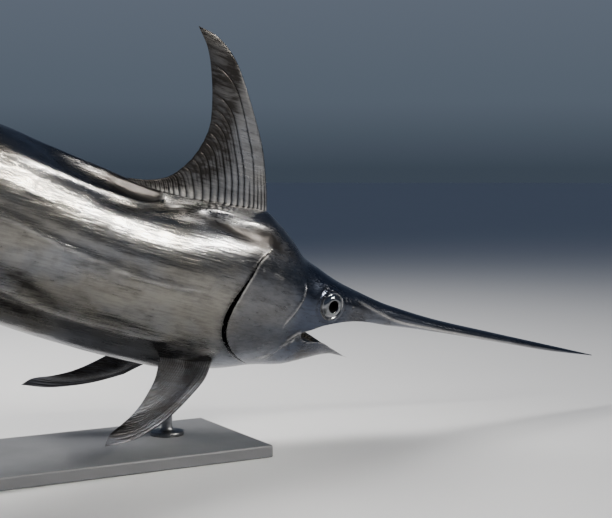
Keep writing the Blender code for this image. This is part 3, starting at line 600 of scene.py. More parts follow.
def relief(points, sizes):
    """Height of the skin's relief at each point, how far it is darkened, mostly by painted shade, and how far
    it is brightened by painted highlights and wear.
    """
    x, y, z = points[..., 0], points[..., 1], points[..., 2]
    aside = np.abs(y)
    flank = ramp(aside, 0.012, 0.03)
    upper = ramp(z - curve_at(AXIS, x), 0.0, 0.05)
    on_head = ramp(x, -0.08, 0.02)
    on_bill = ramp(x, 0.30, 0.46)
    height = np.zeros(x.shape)
    dark = np.zeros(x.shape)
    bright = np.zeros(x.shape)

    def add(form, tall=0.0, shade=0.0, highlight=0.0):
        nonlocal height, dark, bright
        height += tall * form
        dark += shade * form
        bright += highlight * form

    def line(course, tall, half_width, shade=0.0, highlight=0.0, fade=0.08, top=False):
        """Ridge or furrow along a line of the side view or the top view, with painted shade beside it and a
        painted highlight on it.
        """
        gap, share = from_line(x, aside if top else z, course)
        ends = between(share, (0, fade), (1 - fade, 1)) * (upper if top else flank)
        add(bell(gap, half_width) * ends, tall, highlight=highlight)
        add(bell(gap - 2.1 * half_width, half_width) * ends, shade=shade)

    # hammered ripples run along the body and fade out on the bill
    ripple = noise_field(points, (13, 30, 30), 3.7) + 0.6 * noise_field(points, (34, 76, 76), 11.3)
    add(ripple * (1 - 0.5 * on_head) * (1 - 0.75 * on_bill), sizes.hammer_depth)

    for course, part, half_width, shade, highlight, fade in SIDE_LINES:
        line(course, sizes.line_height * part, half_width, shade, highlight, fade)
    # patches of painted shade on the lower flank
    for patch in DARK_PATCHES:
        gap, share = from_line(x, z, patch)
        add(bell(gap, PATCH_HALF_WIDTH) * np.sin(np.pi * share) ** 0.5 * flank, shade=0.55)
    # the skin is drawn in above the raised line of the flank and above the lower seam, with painted shade
    # there
    for course, lift, half_width in DRAWN_IN:
        gap, share = from_line(x, z - lift, course)
        add(bell(gap, half_width) * between(share, (0, 0.1), (0.85, 1)) * flank, -DRAWN_DEPTH, shade=0.14)

    # the cheek in front of its ridge lies lower
    cheek_x = curve_at([(q, p) for p, q in sorted(CHEEK_RIDGE, key=lambda p: p[1])], z)
    in_reach = between(z, (-0.07, -0.03), (0.07, 0.10)) * flank
    add(between(x - cheek_x, (0.0, 0.006), (0.012, 0.06)) * in_reach, -CHEEK_DEPTH)

    # a channel with a raised lip runs along the foot of the crest behind the first dorsal fin; painted shade
    # darkens the channel, a highlight is painted on the lip, and the skin outside the lip lies lower with
    # painted shade
    lip = curve_at(CHANNEL_LIP, x)
    wide = np.maximum(lip - CHANNEL_INNER, 0.004)
    inside = np.clip((aside - CHANNEL_INNER) / wide, 0, 1)
    length = between(x, (-0.62, -0.50), (-0.285, -0.262)) * upper
    add(np.clip(wide / 0.05, 0, 1) * np.sin(np.pi * inside**1.3) ** 0.8 * length, -CHANNEL_DEPTH)
    painted_shade = (0.3 + 0.65 * ramp(x, -0.52, -0.34)) * length
    add(painted_shade * ramp(aside, 0.003, 0.007) * (1 - ramp(aside - lip, -0.008, 0.002)), shade=1.0)
    line(CHANNEL_LIP, sizes.line_height, 0.006, highlight=1.0, fade=TOP_FADE, top=True)
    outside_lip = bell(aside - lip - 0.021, 0.010) * between(x, (-0.5, -0.38), (-0.25, -0.19)) * upper
    add(outside_lip, -OUTSIDE_LIP_DEPTH, shade=0.5)

    # the shoulder beside the foot of the first dorsal fin, with highlights painted on the fairing, the roll,
    # the fin's foot and the crest, and painted shade in the hollow
    for course, tall, half_width, highlight in SHOULDER_LINES:
        line(course, tall, half_width, highlight=highlight, fade=TOP_FADE, top=True)
    add(bell(aside - 0.020, 0.009) * between(x, (-0.30, -0.26), (-0.02, 0.02)) * upper, highlight=0.25)
    gap, share = from_line(x, aside, SHOULDER_HOLLOW)
    add(bell(gap, HOLLOW_HALF_WIDTH) * np.sin(np.pi * share) ** 0.6 * upper, shade=0.9)
    add(bell(aside, 0.009) * between(x, (-0.56, -0.46), (-0.36, -0.30)) * upper, highlight=0.5)

    # the gill cover stands proud along the slit, and the skin behind it dips; painted shade darkens the slit
    # and the skin behind it, and a highlight is painted along the cover's upper edge
    gap, share = from_line(x, z, COVER_EDGE)
    cover_x = curve_at([(q, p) for p, q in COVER_EDGE[::-1]], z)
    past = np.where(x > cover_x, gap, -gap)
    ends = between(share, (0.0, 0.10), (0.88, 1)) * flank
    width = slit_width(share)
    behind = 1 - ramp(past / np.maximum(width, 0.004), -1.0, 0.0)
    lifted = ends * np.clip(width / 0.006, 0.2, 1)
    add(lifted * (1 - behind) * np.exp(-np.maximum(past, 0) / 0.035), sizes.cover_lift)
    add(lifted * behind * np.exp(-np.maximum(-past - 0.012, 0) / 0.022), -BEHIND_SLIT_DEPTH)
    add(ends * np.exp(-np.maximum(-past - width, 0) / 0.004) * (past < -0.001), shade=0.8)
    add(ends * bell(past - 0.002, 0.0035) * (1 - ramp(share, 0.35, 0.5)), highlight=0.75)

    # the lower jaw is darker in front of the mouth's corner
    add(ramp(x, 0.16, 0.21) * (1 - ramp(z, -0.075, -0.06)), shade=0.5)

    # socket rim round each eye, with painted shade at the socket's edge and in the furrow round the rim
    arm = np.hypot((x - EYE_CENTRE[0]) * math.cos(EYE_FORWARD), z - EYE_CENTRE[2])
    for radius, half_width, tall, shade in SOCKET_RINGS:
        add(bell(arm - radius, half_width) * flank, tall, shade)
    bright = np.clip(bright, 0, 1)
    return height, np.clip(dark, 0, 1) * (1 - 0.85 * bright), bright


def mark(shape, **shades):
    """Writes numbers for each vertex, in order, as attributes that the finishes read."""
    for name, values in shades.items():
        if not np.isfinite(values).all():
            raise ValueError(f"{name} has values that are no numbers")
        layer = shape.verts.layers.float.new(name)
        for vert, value in zip(shape.verts, values):
            vert[layer] = value


def skin_mesh(name, places, around, belly, sizes):
    """Closed skin round the rings at the given places, with its relief."""
    shape, column, row = grid_mesh(len(places) - 1, around)
    x, share = np.meshgrid(places, np.linspace(-1, 1, around + 1), indexing="ij")
    points = skin_points(x, share, belly)
    shoulder = ramp(x, -0.32, -0.24) * ramp(points[..., 2] - curve_at(AXIS, x), 0.10, 0.14)
    height, dark, bright = relief(points, sizes)
    tip = np.clip(np.linalg.norm(points - points.mean(axis=1, keepdims=True), axis=-1) / 0.008, 0, 1)
    points = bent(points + surface_normals(points) * (height * tip)[..., None])
    calm = np.maximum(ramp(x, -0.07, 0.0), shoulder)
    # share of the painted sky reflection: the head and the bill are painted darker and bluer
    cool = (0.5 * ramp(x, -0.10, 0.0) + 0.5 * ramp(x, 0.09, 0.16)) * (1 - 0.3 * ramp(x, 0.26, 0.34))
    shades = {"patina": dark, "polish": bright, "calm": calm, "cool": cool}
    mark(shape, **{layer: values[column, row] for layer, values in shades.items()})
    for vert, place in zip(shape.verts, points[column, row]):
        vert.co = place
    bmesh.ops.remove_doubles(shape, verts=shape.verts, dist=1e-5)
    ends = [edge for edge in shape.edges if edge.is_boundary]
    bmesh.ops.holes_fill(shape, edges=ends, sides=0)
    bmesh.ops.triangulate(shape, faces=[face for face in shape.faces if len(face.verts) > 4])
    outwards(shape)
    return piece(name, shape)


def socket_cutter(side):
    shape = bmesh.new()
    bmesh.ops.create_cone(
        shape, cap_ends=True, cap_tris=True, segments=96, depth=0.05,
        radius1=EYE_SOCKET_RADIUS, radius2=EYE_SOCKET_RADIUS,
    )
    shape.transform(eye_frame(side))
    outwards(shape)
    return piece("cutter", shape)


def mouth_outline():
    return [MOUTH_CORNER, *MOUTH_ROOF, (0.49, -0.3), (0.10, -0.3), *reversed(JAW_ROOT)]


def slit_outline():
    steps = np.linspace(0, 1, 80)
    rear = along(COVER_EDGE, steps)
    course = np.gradient(rear, axis=0)
    course /= np.linalg.norm(course, axis=1, keepdims=True)
    behind = rear + np.stack((course[:, 1], -course[:, 0]), axis=1) * slit_width(steps)[:, None]
    return [tuple(p) for p in rear] + [tuple(p) for p in behind[::-1]]


def trough_cutter():
    """Hollow of the lower jaw: a ball with blunter ends, fitted between the jaw's sides, rim and chin."""
    trough = bmesh.new()
    bmesh.ops.create_uvsphere(trough, u_segments=64, v_segments=32, radius=1.0)
    low, high = JAW_HOLLOW_ENDS
    for vert in trough.verts:
        share = vert.co.x
        full = math.sqrt((1 - share**6) / max(1 - share**2, 1e-6)) if abs(share) < 0.999 else 1.0
        x = (low + high) / 2 + share * (high - low) / 2
        axis, level, chin = (float(curve_at(line, x)) for line in (AXIS, JAW_RIM, CHIN))
        round_share = 1 - ((axis - level) / (axis - chin)) ** 2
        wide = float(curve_at(HALF_WIDTH, x)) * max(round_share, 0.0) ** (FULLNESS / 2) - JAW_SHEET
        deep = min(JAW_HOLLOW_DEPTH, level - chin - JAW_SHEET)
        vert.co = (x, vert.co.y * full * max(wide, 0.001), level + vert.co.z * full * max(deep, 0.001))
    outwards(trough)
    return piece("cutter", trough)


class SWORDFISH_OT_skin(bpy.types.Operator):
    """Hammered skin from the tail stalk to the tip of the bill, with gill slits, mouth and eye sockets"""

    bl_idname = "swordfish.skin"
    bl_label = "Skin"

    def execute(self, context):
        sizes = context.scene.swordfish_sizes
        skin = skin_mesh("skin", ring_places(SKIN_START, SKIN_RINGS), SKIN_AROUND, BELLY, sizes)
        cut(skin, side_prism(mouth_outline(), -0.3, 0.3))
        cut(skin, side_prism(slit_outline(), -0.3, -SLIT_INNER))
        cut(skin, side_prism(slit_outline(), SLIT_INNER, 0.3))
        cut(skin, socket_cutter(-1))
        cut(skin, socket_cutter(1))
        keep_largest(skin)
        skin.data.transform(fish_matrix())
        finish(skin, bpy.data.materials["hammered_metal"], *SKIN_NODES, slot="body_metal")
        return {"FINISHED"}


class SWORDFISH_OT_jaw(bpy.types.Operator):
    """Lower jaw with its two rims and the hollow between them"""

    bl_idname = "swordfish.jaw"
    bl_label = "Lower jaw"

    def execute(self, context):
        sizes = context.scene.swordfish_sizes
        jaw = skin_mesh("jaw", np.linspace(JAW_START, JAW_TIP, JAW_RINGS), JAW_AROUND, CHIN, sizes)
        rim = along(JAW_RIM, np.linspace(0, 1, 30))
        root = [(x + JAW_CLEARANCE, z) for x, z in (MOUTH_CORNER, *JAW_ROOT)]
        outline = [*root, (0.46, -0.22), (0.46, -0.11), *map(tuple, rim[::-1])]
        cut(jaw, side_prism(outline, -0.3, 0.3), "INTERSECT")
        cut(jaw, trough_cutter())
        keep_largest(jaw)
        jaw.data.transform(fish_matrix())
        finish(jaw, bpy.data.materials["hammered_metal"], "lower_jaw", slot="body_metal")
        return {"FINISHED"}


# Eyes

EYE_PROFILE = (
    (0.0, -0.012), (0.0142, -0.012), (0.0146, -0.004), (0.0148, 0.0058), (0.0153, 0.0075),
    (0.0163, 0.0085), (0.0178, 0.0088), (0.0202, 0.0083), (0.0238, 0.0068), (0.0268, 0.0045),
    (0.0288, 0.0022), (0.0300, 0.0008), (0.0310, 0.0004), (0.0320, 0.0008), (0.0332, 0.0020),
    (0.0342, 0.0022), (0.0349, 0.0012), (0.0349, -0.0200), (0.0, -0.0200),
)
# A face of the eye belongs to the pupil where it lies within this radius and above this height
PUPIL_RADIUS = 0.0150
PUPIL_FLOOR = -0.0125


def turned(profile, sides):
    """Solid turned from a profile of (radius, height) points."""
    shape = bmesh.new()
    verts = [shape.verts.new((radius, 0, height)) for radius, height in profile]
    edges = [shape.edges.new(pair) for pair in zip(verts, verts[1:])]
    bmesh.ops.spin(
        shape, geom=verts + edges, cent=(0, 0, 0), axis=(0, 0, 1), angle=2 * math.pi, steps=sides,
        use_merge=True,
    )
    bmesh.ops.remove_doubles(shape, verts=shape.verts, dist=1e-6)
    outwards(shape)
    return shape


class SWORDFISH_OT_eyes(bpy.types.Operator):
    """Polished domes whose round pupil hole is lined with near-black painted shade"""

    bl_idname = "swordfish.eyes"
    bl_label = "Eyes"

    def execute(self, context):
        for name, side in (("eye_right", -1), ("eye_left", 1)):
            shape = turned(EYE_PROFILE, 96)
            for face in shape.faces:
                middle = face.calc_center_median()
                if math.hypot(middle.x, middle.y) < PUPIL_RADIUS and middle.z > PUPIL_FLOOR:
                    face.material_index = 1
            obj = piece(name + "_dome", shape, fish_matrix() @ eye_frame(side))
            obj.data.materials.append(bpy.data.materials["eye_polish"])
            obj.data.materials.append(bpy.data.materials["pupil_shade"])
            finish(obj, None, name, slot="eye_metal")
        return {"FINISHED"}


# Fins


EVEN = ((0.0, 0.0), (1.0, 1.0))
# What a fin's look holds where it gives nothing else. Every look also gives the thickness of the fin at its
# root, tip and edge, and the height of its ribs
PLAIN_FIN = {
    "feet": EVEN, "ends": EVEN, "short": (), "split": 0.0, "flange": 0.0, "furrow": 0.0, "knuckle": 0.0,
    "on_back": False, "upper_shade": 0.0, "top_shade": 0.0, "painted_shade": 0.0, "cool": 0.0, "worn": 0.2,
    "root_highlight": 0.0, "highlight_at": None, "front_highlight": 0.0,
}
# The dorsal fin gets painted shade over its upper rear part and its top, and highlights painted along its
# foot and its leading edge
DORSAL_LOOK = {
    "root": 0.020, "tip": 0.0032, "edge": 0.0016, "ribs": 0.0062, "feet": DORSAL_FEET, "ends": DORSAL_ENDS,
    "short": SHORT_GROOVES, "split": 0.9, "knuckle": 0.003, "on_back": True, "upper_shade": 0.6, "top_shade": 0.75,
    "cool": 0.1, "root_highlight": 0.5, "front_highlight": 0.4,
}
# The pectorals are darkened all over with painted shade, mixed towards the painted sky reflection, and get a
# highlight painted near the root
PECTORAL_LOOK = {
    "root": 0.015, "tip": 0.003, "edge": 0.0015, "ribs": 0.0042, "flange": 0.075, "furrow": 0.003,
    "painted_shade": 0.5, "cool": 0.9, "worn": 0.18, "root_highlight": 0.4, "highlight_at": 0.12,
}
REAR_LOOK = {"root": 0.011, "tip": 0.0026, "edge": 0.0014, "ribs": 0.003}
TAIL_LOOK = {"root": 0.015, "tip": 0.003, "edge": 0.0015, "ribs": 0.0038}
SCALLOP = 0.012
FOOT_HEIGHT = 0.012
# Height of a fin that doesn't stand on the back, taken for where its foot ends
COMMON_HEIGHT = 0.4


def rib_profile(passed):
    """Rounded ribs: 0 in the narrow groove at each whole number, and 1 on the rib between two of them."""
    return np.abs(np.sin(np.pi * passed)) ** 0.45


def fin_points(base, leading, trailing, ribs, look, across, up):
    """Surface of a fin: each rib is the leading edge's curve, turned and shortened to reach the rear."""
    feet = along(base, curve_at(look["feet"], across))
    ends = along(trailing, curve_at(look["ends"], across))
    spine = along(leading, up) - np.array(leading[0])
    longest = Vector(leading[-1]) - Vector(leading[0])
    points = np.zeros((len(across), len(up), 3))
    scallop = SCALLOP * (1 - rib_profile(across * ribs)) * ramp(across, 0.2, 0.4)
    for i, (foot, end) in enumerate(zip(feet, ends)):
        chord = Vector(end - foot)
        turn = np.array(longest.rotation_difference(chord).to_matrix())
        points[i] = foot + spine @ turn.T * (chord.length / longest.length * (1 - scallop[i]))
    return points


def fin_mesh(name, base, leading, trailing, ribs, look, place, per_rib=8, rows=56):
    """Ribbed fin of the given look, moved to where place carries its points."""
    look = PLAIN_FIN | look
    columns = ribs * per_rib
    shape, column, row = grid_mesh(columns, rows)
    across = np.linspace(0, 1, columns + 1)
    up = np.linspace(0, 1, rows + 1)
    points = fin_points(base, leading, trailing, ribs, look, across, up)

    # ribs, some of them split and some grooves short, and how strongly they stand out
    a, u = np.meshgrid(across, up, indexing="ij")
    passed = a * ribs
    short = np.isin(np.rint(passed), look["short"])
    form = 1 - (1 - rib_profile(passed)) * (1 - short * ramp(u, 0.12, 0.32))
    split = look["split"] * ramp(u, 0.35, 0.6) * ramp(a, 0.2, 0.3)
    form = form * (1 - split) + np.minimum(form, rib_profile(2 * passed)) * split
    strength = (1 - u) ** 0.3 * np.clip((1 - u) / 0.05, 0, 1)
    if look["flange"]:
        strength *= ramp(u, look["flange"], look["flange"] * 1.5)

    # thickness from the root to the rounded rim
    root, tip, thin = look["root"], look["tip"], look["edge"]
    body = tip + (root * (1 - 0.5 * a) - tip) * (1 - u) ** 1.3
    rim = np.clip(np.minimum.reduce((a / 0.03, (1 - a) / 0.03, (1 - u) / 0.06)), 0, 1) ** 0.5
    pitch = np.linalg.norm(np.gradient(points, axis=0), axis=-1) * per_rib
    depth = np.minimum(look["ribs"], 0.34 * pitch)
    above = points[..., 2] - curve_at(BACK, points[..., 0]) if look["on_back"] else u * COMMON_HEIGHT
    foot = bell(above, FOOT_HEIGHT) * (1 - 0.8 * ramp(a, 0.75, 0.95))
    knuckle = look["knuckle"] * (0.4 + 0.6 * form) * foot
    furrow = look["furrow"] * bell(u - look["flange"], 0.012)
    thickness = thin + (body - thin) * rim + depth * (form - 0.6) * strength + knuckle - furrow
    thickness = np.maximum(thin, thickness)
    thickest = float(thickness.max())

    # painted shade in the grooves, over the fin's upper part, in the pectoral's root furrow and all over the
    # pectorals; polish on the rib crests, stronger within the painted upper shade; highlights painted along
    # the root and the leading edge
    upper_shade = look["upper_shade"] * ramp(u, 0.3, 0.6) * ramp(a, 0.20, 0.34)
    upper_shade = np.maximum(upper_shade, look["top_shade"] * ramp(u, 0.55, 0.8))
    shiny = foot if look["highlight_at"] is None else bell(u - look["highlight_at"], 0.035) * form
    bright = look["worn"] * (1 + 2 * upper_shade) * ramp(form, 0.75, 1.0) * strength + look["root_highlight"] * shiny
    bright += look["front_highlight"] * (1 - ramp(a, 0.03, 0.09)) * ramp(u, 0.45, 0.7)
    dark = 0.9 * ramp(1 - form, 0.30, 0.75) * strength * (1 - 0.6 * foot) + upper_shade + look["painted_shade"]
    if look["furrow"]:
        dark += 0.9 * bell(u - look["flange"], 0.01)
    dark, bright = np.clip(dark, 0, 1), np.clip(bright, 0, 1)
    cool = np.full(column.shape, look["cool"])
    mark(shape, patina=dark[column, row], polish=bright[column, row], cool=cool)

    weights = shape.verts.layers.deform.new()
    shares = (thickness / thickest)[column, row]
    for vert, at, share in zip(shape.verts, place(points)[column, row], shares):
        vert.co = at
        vert[weights][0] = share
    bmesh.ops.recalc_face_normals(shape, faces=shape.faces)
    obj = piece(name, shape)
    thicken(obj, thickest)
    obj.data.transform(fish_matrix())
    return obj


def thicken(obj, thickest):
    """Makes a surface a closed solid, with its vertices' weights as shares of the greatest thickness."""
    obj.vertex_groups.new(name="thickness")
    solidify = obj.modifiers.new("thickness", "SOLIDIFY")
    solidify.thickness = thickest
    solidify.offset = 0.0
    solidify.vertex_group = "thickness"
    apply_modifiers(obj)
    obj.vertex_groups.clear()
    shape = bmesh.new()
    shape.from_mesh(obj.data)
    bmesh.ops.dissolve_degenerate(shape, dist=1e-6, edges=shape.edges)
    outwards(shape)
    shape.to_mesh(obj.data)
    shape.free()


def upright(outline):
    return [(x, 0.0, z) for x, z in outline]


def left_pectoral(points):
    """Mirror of the right fin, turned at the hinge to hang lower and further back."""
    mirror = np.array((1, -1, 1))
    arm = points * mirror - np.array(PECTORAL_HINGE)
    share = np.clip(np.linalg.norm(arm, axis=-1) / LEFT_REACH, 0, 1)
    span = np.array(PECTORAL_LEADING[-1]) * mirror - np.array(PECTORAL_HINGE)
    span /= np.linalg.norm(span)
    twist = (share * LEFT_TWIST)[..., None]
    lengthwise = (arm @ span)[..., None] * span
    arm = arm * np.cos(twist) + np.cross(span, arm) * np.sin(twist) + lengthwise * (1 - np.cos(twist))
    sweep, drop = share * LEFT_SWEEP, -share * LEFT_DROP
    x, y, z = arm[..., 0], arm[..., 1], arm[..., 2]
    x, y = x * np.cos(sweep) - y * np.sin(sweep), x * np.sin(sweep) + y * np.cos(sweep)
    y, z = y * np.cos(drop) - z * np.sin(drop), y * np.sin(drop) + z * np.cos(drop)
    return np.stack((x, y, z), axis=-1) + np.array(PECTORAL_HINGE)


def upper_lobe(points):
    return bent(points * np.array((1, 0, 1)) + np.array((0, 0, TAIL_MIDDLE)))


def lower_lobe(points):
    return bent(points * np.array((1, 0, -1)) + np.array((0, 0, TAIL_MIDDLE)))


class SWORDFISH_OT_dorsal(bpy.types.Operator):
    """Tall first dorsal fin, with ribs that curve back to its trailing edge"""

    bl_idname = "swordfish.dorsal"
    bl_label = "First dorsal fin"

    def execute(self, context):
        ribs = context.scene.swordfish_sizes.dorsal_ribs
        outline = map(upright, (DORSAL_BASE, DORSAL_LEADING, DORSAL_TRAILING))
        fin = fin_mesh("dorsal_ribs", *outline, ribs, DORSAL_LOOK, bent, per_rib=13, rows=90)
        finish(fin, bpy.data.materials["ribbed_metal"], "first_dorsal_fin", slot="fin_metal")
        return {"FINISHED"}


class SWORDFISH_OT_pectorals(bpy.types.Operator):
    """Pectoral fins with fine slanting ribs"""

    bl_idname = "swordfish.pectorals"
    bl_label = "Pectoral fins"

    def execute(self, context):
        ribs = context.scene.swordfish_sizes.pectoral_ribs
        outline = (PECTORAL_BASE, PECTORAL_LEADING, PECTORAL_TRAILING)
        for side, place in (("right", lambda points: points), ("left", left_pectoral)):
            fin = fin_mesh(f"pectoral_{side}_ribs", *outline, ribs, PECTORAL_LOOK, place)
            finish(fin, bpy.data.materials["ribbed_metal"], f"pectoral_fin_{side}", slot="fin_metal")
        return {"FINISHED"}


class SWORDFISH_OT_rear_fins(bpy.types.Operator):
    """Anal fins and the small second dorsal fin"""

    bl_idname = "swordfish.rear_fins"
    bl_label = "Rear fins"

    def execute(self, context):
        fins = (
            ("first_anal_fin", 14, ANAL_BASE, ANAL_LEADING, ANAL_TRAILING),
            ("second_dorsal_fin", 8, SECOND_DORSAL_BASE, SECOND_DORSAL_LEADING, SECOND_DORSAL_TRAILING),
            ("second_anal_fin", 8, SECOND_ANAL_BASE, SECOND_ANAL_LEADING, SECOND_ANAL_TRAILING),
        )
        for node, ribs, *outline in fins:
            fin = fin_mesh(node + "_ribs", *map(upright, outline), ribs, REAR_LOOK, bent, rows=30)
            finish(fin, bpy.data.materials["ribbed_metal"], node, slot="fin_metal")
        return {"FINISHED"}


class SWORDFISH_OT_tail(bpy.types.Operator):
    """Crescent tail of two lobes, and the keels on its stalk"""

    bl_idname = "swordfish.tail"
    bl_label = "Tail"

    def execute(self, context):
        ribs = context.scene.swordfish_sizes.tail_ribs
        outline = list(map(upright, (LOBE_BASE, LOBE_LEADING, LOBE_TRAILING)))
        for node, place in (("tail_fin_upper", upper_lobe), ("tail_fin_lower", lower_lobe)):
            fin = fin_mesh(node + "_ribs", *outline, ribs, TAIL_LOOK, place)
            finish(fin, bpy.data.materials["ribbed_metal"], node, slot="fin_metal")
        for node, side in (("keel_right", -1), ("keel_left", 1)):
            shape = bmesh.new()
            bmesh.ops.create_uvsphere(shape, u_segments=64, v_segments=32, radius=1.0)
            bmesh.ops.scale(shape, vec=KEEL_HALF_SIZE, verts=shape.verts)
            bmesh.ops.translate(shape, vec=(KEEL_X, side * KEEL_ASIDE, TAIL_MIDDLE), verts=shape.verts)
            for vert in shape.verts:
                vert.co = bent(np.array(vert.co))
            obj = piece(node + "_ridge", shape, fish_matrix())
            finish(obj, bpy.data.materials["hammered_metal"], node, slot="body_metal")
        return {"FINISHED"}


# Stand


class SWORDFISH_OT_stand(bpy.types.Operator):
    """Round rods with turned feet on the painted base"""

    bl_idname = "swordfish.stand"
    bl_label = "Stand"

    def execute(self, context):
        for node in ("stand_rod_front", "stand_rod_rear"):
            low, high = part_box(node)
            x, y = (low.x + high.x) / 2, (low.y + high.y) / 2
            top = high.z - STAND_TOP + ROD_INTO_BODY
            shape = turned(((0.0, top), (ROD_FOOT[0][0], top), *ROD_FOOT), 72)
            obj = piece(node + "_bar", shape, Matrix.Translation((x, y, STAND_TOP)))
            finish(obj, bpy.data.materials["rod_metal"], node, slot="stand_rod_metal")
        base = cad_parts["stand_base"]
        base.data.materials.clear()
        base.data.materials.append(bpy.data.materials["base_paint"])
        return {"FINISHED"}


# Finishes


class Nodes:
    """Short ways to add and join the nodes of one material."""

    def __init__(self, name):
        self.material = bpy.data.materials.new(name)
        self.material.use_nodes = True
        self.tree = self.material.node_tree
        self.shader = self.tree.nodes["Principled BSDF"]

    def add(self, kind, **values):
        node = self.tree.nodes.new(kind)
        for name, value in values.items():
            if name in node.inputs:
                node.inputs[name].default_value = value
            else:
                setattr(node, name, value)
        return node

    def join(self, source, target):
        self.tree.links.new(source, target)

    def attribute(self, name):
        return self.add("ShaderNodeAttribute", attribute_name=name).outputs["Fac"]

    def place(self, scale):
        """Object coordinates turned to run along the fish, stretched by the scale."""
        coordinates = self.add("ShaderNodeTexCoord")
        turn = self.add("ShaderNodeMapping", vector_type="TEXTURE")
        turn.inputs["Rotation"].default_value = fish_matrix().to_euler()
        stretch = self.add("ShaderNodeMapping")
        stretch.inputs["Scale"].default_value = scale
        self.join(coordinates.outputs["Object"], turn.inputs["Vector"])
        self.join(turn.outputs["Vector"], stretch.inputs["Vector"])
        return stretch.outputs["Vector"]

    def noise(self, scale, stretch=(1, 1, 1), detail=4.0, rough=0.55, warp=0.0):
        made = self.add("ShaderNodeTexNoise", Scale=scale, Detail=detail, Roughness=rough, Distortion=warp)
        self.join(self.place(stretch), made.inputs["Vector"])
        return made.outputs["Fac"]

    def levels(self, value, low, high, start=0.0, end=1.0):
        made = self.add("ShaderNodeMapRange", interpolation_type="SMOOTHSTEP")
        for name, number in (("From Min", low), ("From Max", high), ("To Min", start), ("To Max", end)):
            made.inputs[name].default_value = number
        self.join(value, made.inputs["Value"])
        return made.outputs["Result"]

    def math(self, operation, first, second):
        made = self.add("ShaderNodeMath", operation=operation)
        for socket, value in zip(made.inputs, (first, second)):
            if isinstance(value, (int, float)):
                socket.default_value = value
            else:
                self.join(value, socket)
        return made.outputs["Value"]

    def times(self, first, second):
        return self.math("MULTIPLY", first, second)

    def total(self, first, *others):
        """Sum of the values, each a socket or, after the first, a number."""
        for value in others:
            first = self.math("ADD", first, value)
        return first

    def mix(self, share, first, second):
        made = self.add("ShaderNodeMix", data_type="RGBA")
        if hasattr(share, "node"):
            self.join(share, made.inputs[0])
        else:
            made.inputs[0].default_value = share
        for socket, value in ((made.inputs[6], first), (made.inputs[7], second)):
            if hasattr(value, "node"):
                self.join(value, socket)
            else:
                socket.default_value = (*value, 1)
        return made.outputs[2]

    def bump(self, *layers):
        """Bump layers of (height, distance, strength), joined one after another."""
        last = None
        for height, distance, strength in layers:
            made = self.add("ShaderNodeBump", Distance=distance, Strength=strength)
            self.join(height, made.inputs["Height"])
            if last is not None:
                self.join(last, made.inputs["Normal"])
            last = made.outputs["Normal"]
        self.join(last, self.shader.inputs["Normal"])


# Clouds, blotches, streaks and ripples of dirt: the noise's scale, stretch, detail, roughness and warp, the
# levels between which it shows, and its share. The ripples, last, are hammered into the metal as well
DIRT = (
    (6.0, (1, 1.7, 1.7), 7.0, 0.68, 0.0, 0.40, 0.70, 0.34),
    (24.0, (0.7, 1.2, 1.2), 5.0, 0.6, 0.6, 0.46, 0.68, 0.20),
    (20.0, (0.22, 3.0, 3.0), 5.0, 0.55, 0.0, 0.45, 0.75, 0.16),
    (60.0, (0.33, 3.2, 3.2), 2.0, 0.55, 0.3, 0.44, 0.62, 0.16),
)
WARMTH = (1.20, 1.10, 0.92)
# Roughness added by dirt and painted shade, and by wear and painted highlights as the fine scratches of
# polishing
DULLING = 0.14


def metal_finish(name, colours, roughness, hammer, brushing):
    """Hammered and brushed metal, darker where dirt and patina gather and where shade is painted, bright
    where it is worn and where highlights are painted, and darker blue where a sky reflection is painted.
    """
    made = Nodes(name)
    patina, polish, cool = (made.attribute(layer) for layer in ("patina", "polish", "cool"))
    grains = [made.noise(*grain) for *grain, _, _, _ in DIRT]
    shades = [
        made.times(made.levels(grain, low, high), share)
        for grain, (*_, low, high, share) in zip(grains, DIRT)
    ]
    dirt_and_shade = made.math("MINIMUM", made.total(*shades, patina), 1.0)
    warm = tuple(c * f for c, f in zip(colours.metal, WARMTH))
    tint = made.levels(made.noise(3.6, (1, 1.5, 1.5), detail=4.0), 0.40, 0.62)
    # the metal is mixed towards the painted sky reflection where its share is set
    plain = made.mix(cool, made.mix(tint, colours.metal, warm), colours.sky_reflection_colour)
    clean = made.mix(made.times(polish, 0.9), plain, colours.polish)
    made.join(made.mix(dirt_and_shade, clean, colours.patina), made.shader.inputs["Base Color"])
    made.shader.inputs["Metallic"].default_value = 1.0

    brushed = made.noise(90.0, (0.06, 3.2, 3.2), detail=3.0)
    streaked = made.levels(brushed, 0.3, 0.7, -0.04, 0.05)
    rough = made.total(streaked, made.times(dirt_and_shade, DULLING), made.times(polish, DULLING), roughness)
    made.join(rough, made.shader.inputs["Roughness"])
    dents = made.add("ShaderNodeTexVoronoi", feature="SMOOTH_F1", Scale=30.0, Smoothness=0.6)
    made.join(made.place((0.5, 1.0, 1.0)), dents.inputs["Vector"])
    crumple = made.noise(70.0, (0.55, 2.0, 2.0), detail=3.0, warp=0.5)
    calm = made.levels(made.attribute("calm"), 0.0, 1.0, 1.0, 0.3)
    made.bump(
        (made.times(dents.outputs["Distance"], calm), hammer * 1.4, 0.7),
        (made.times(crumple, calm), hammer * 0.5, 0.8),
        (made.times(grains[-1], calm), hammer * 1.1, 0.8),
        (brushed, brushing, 0.6),
    )
    return made.material


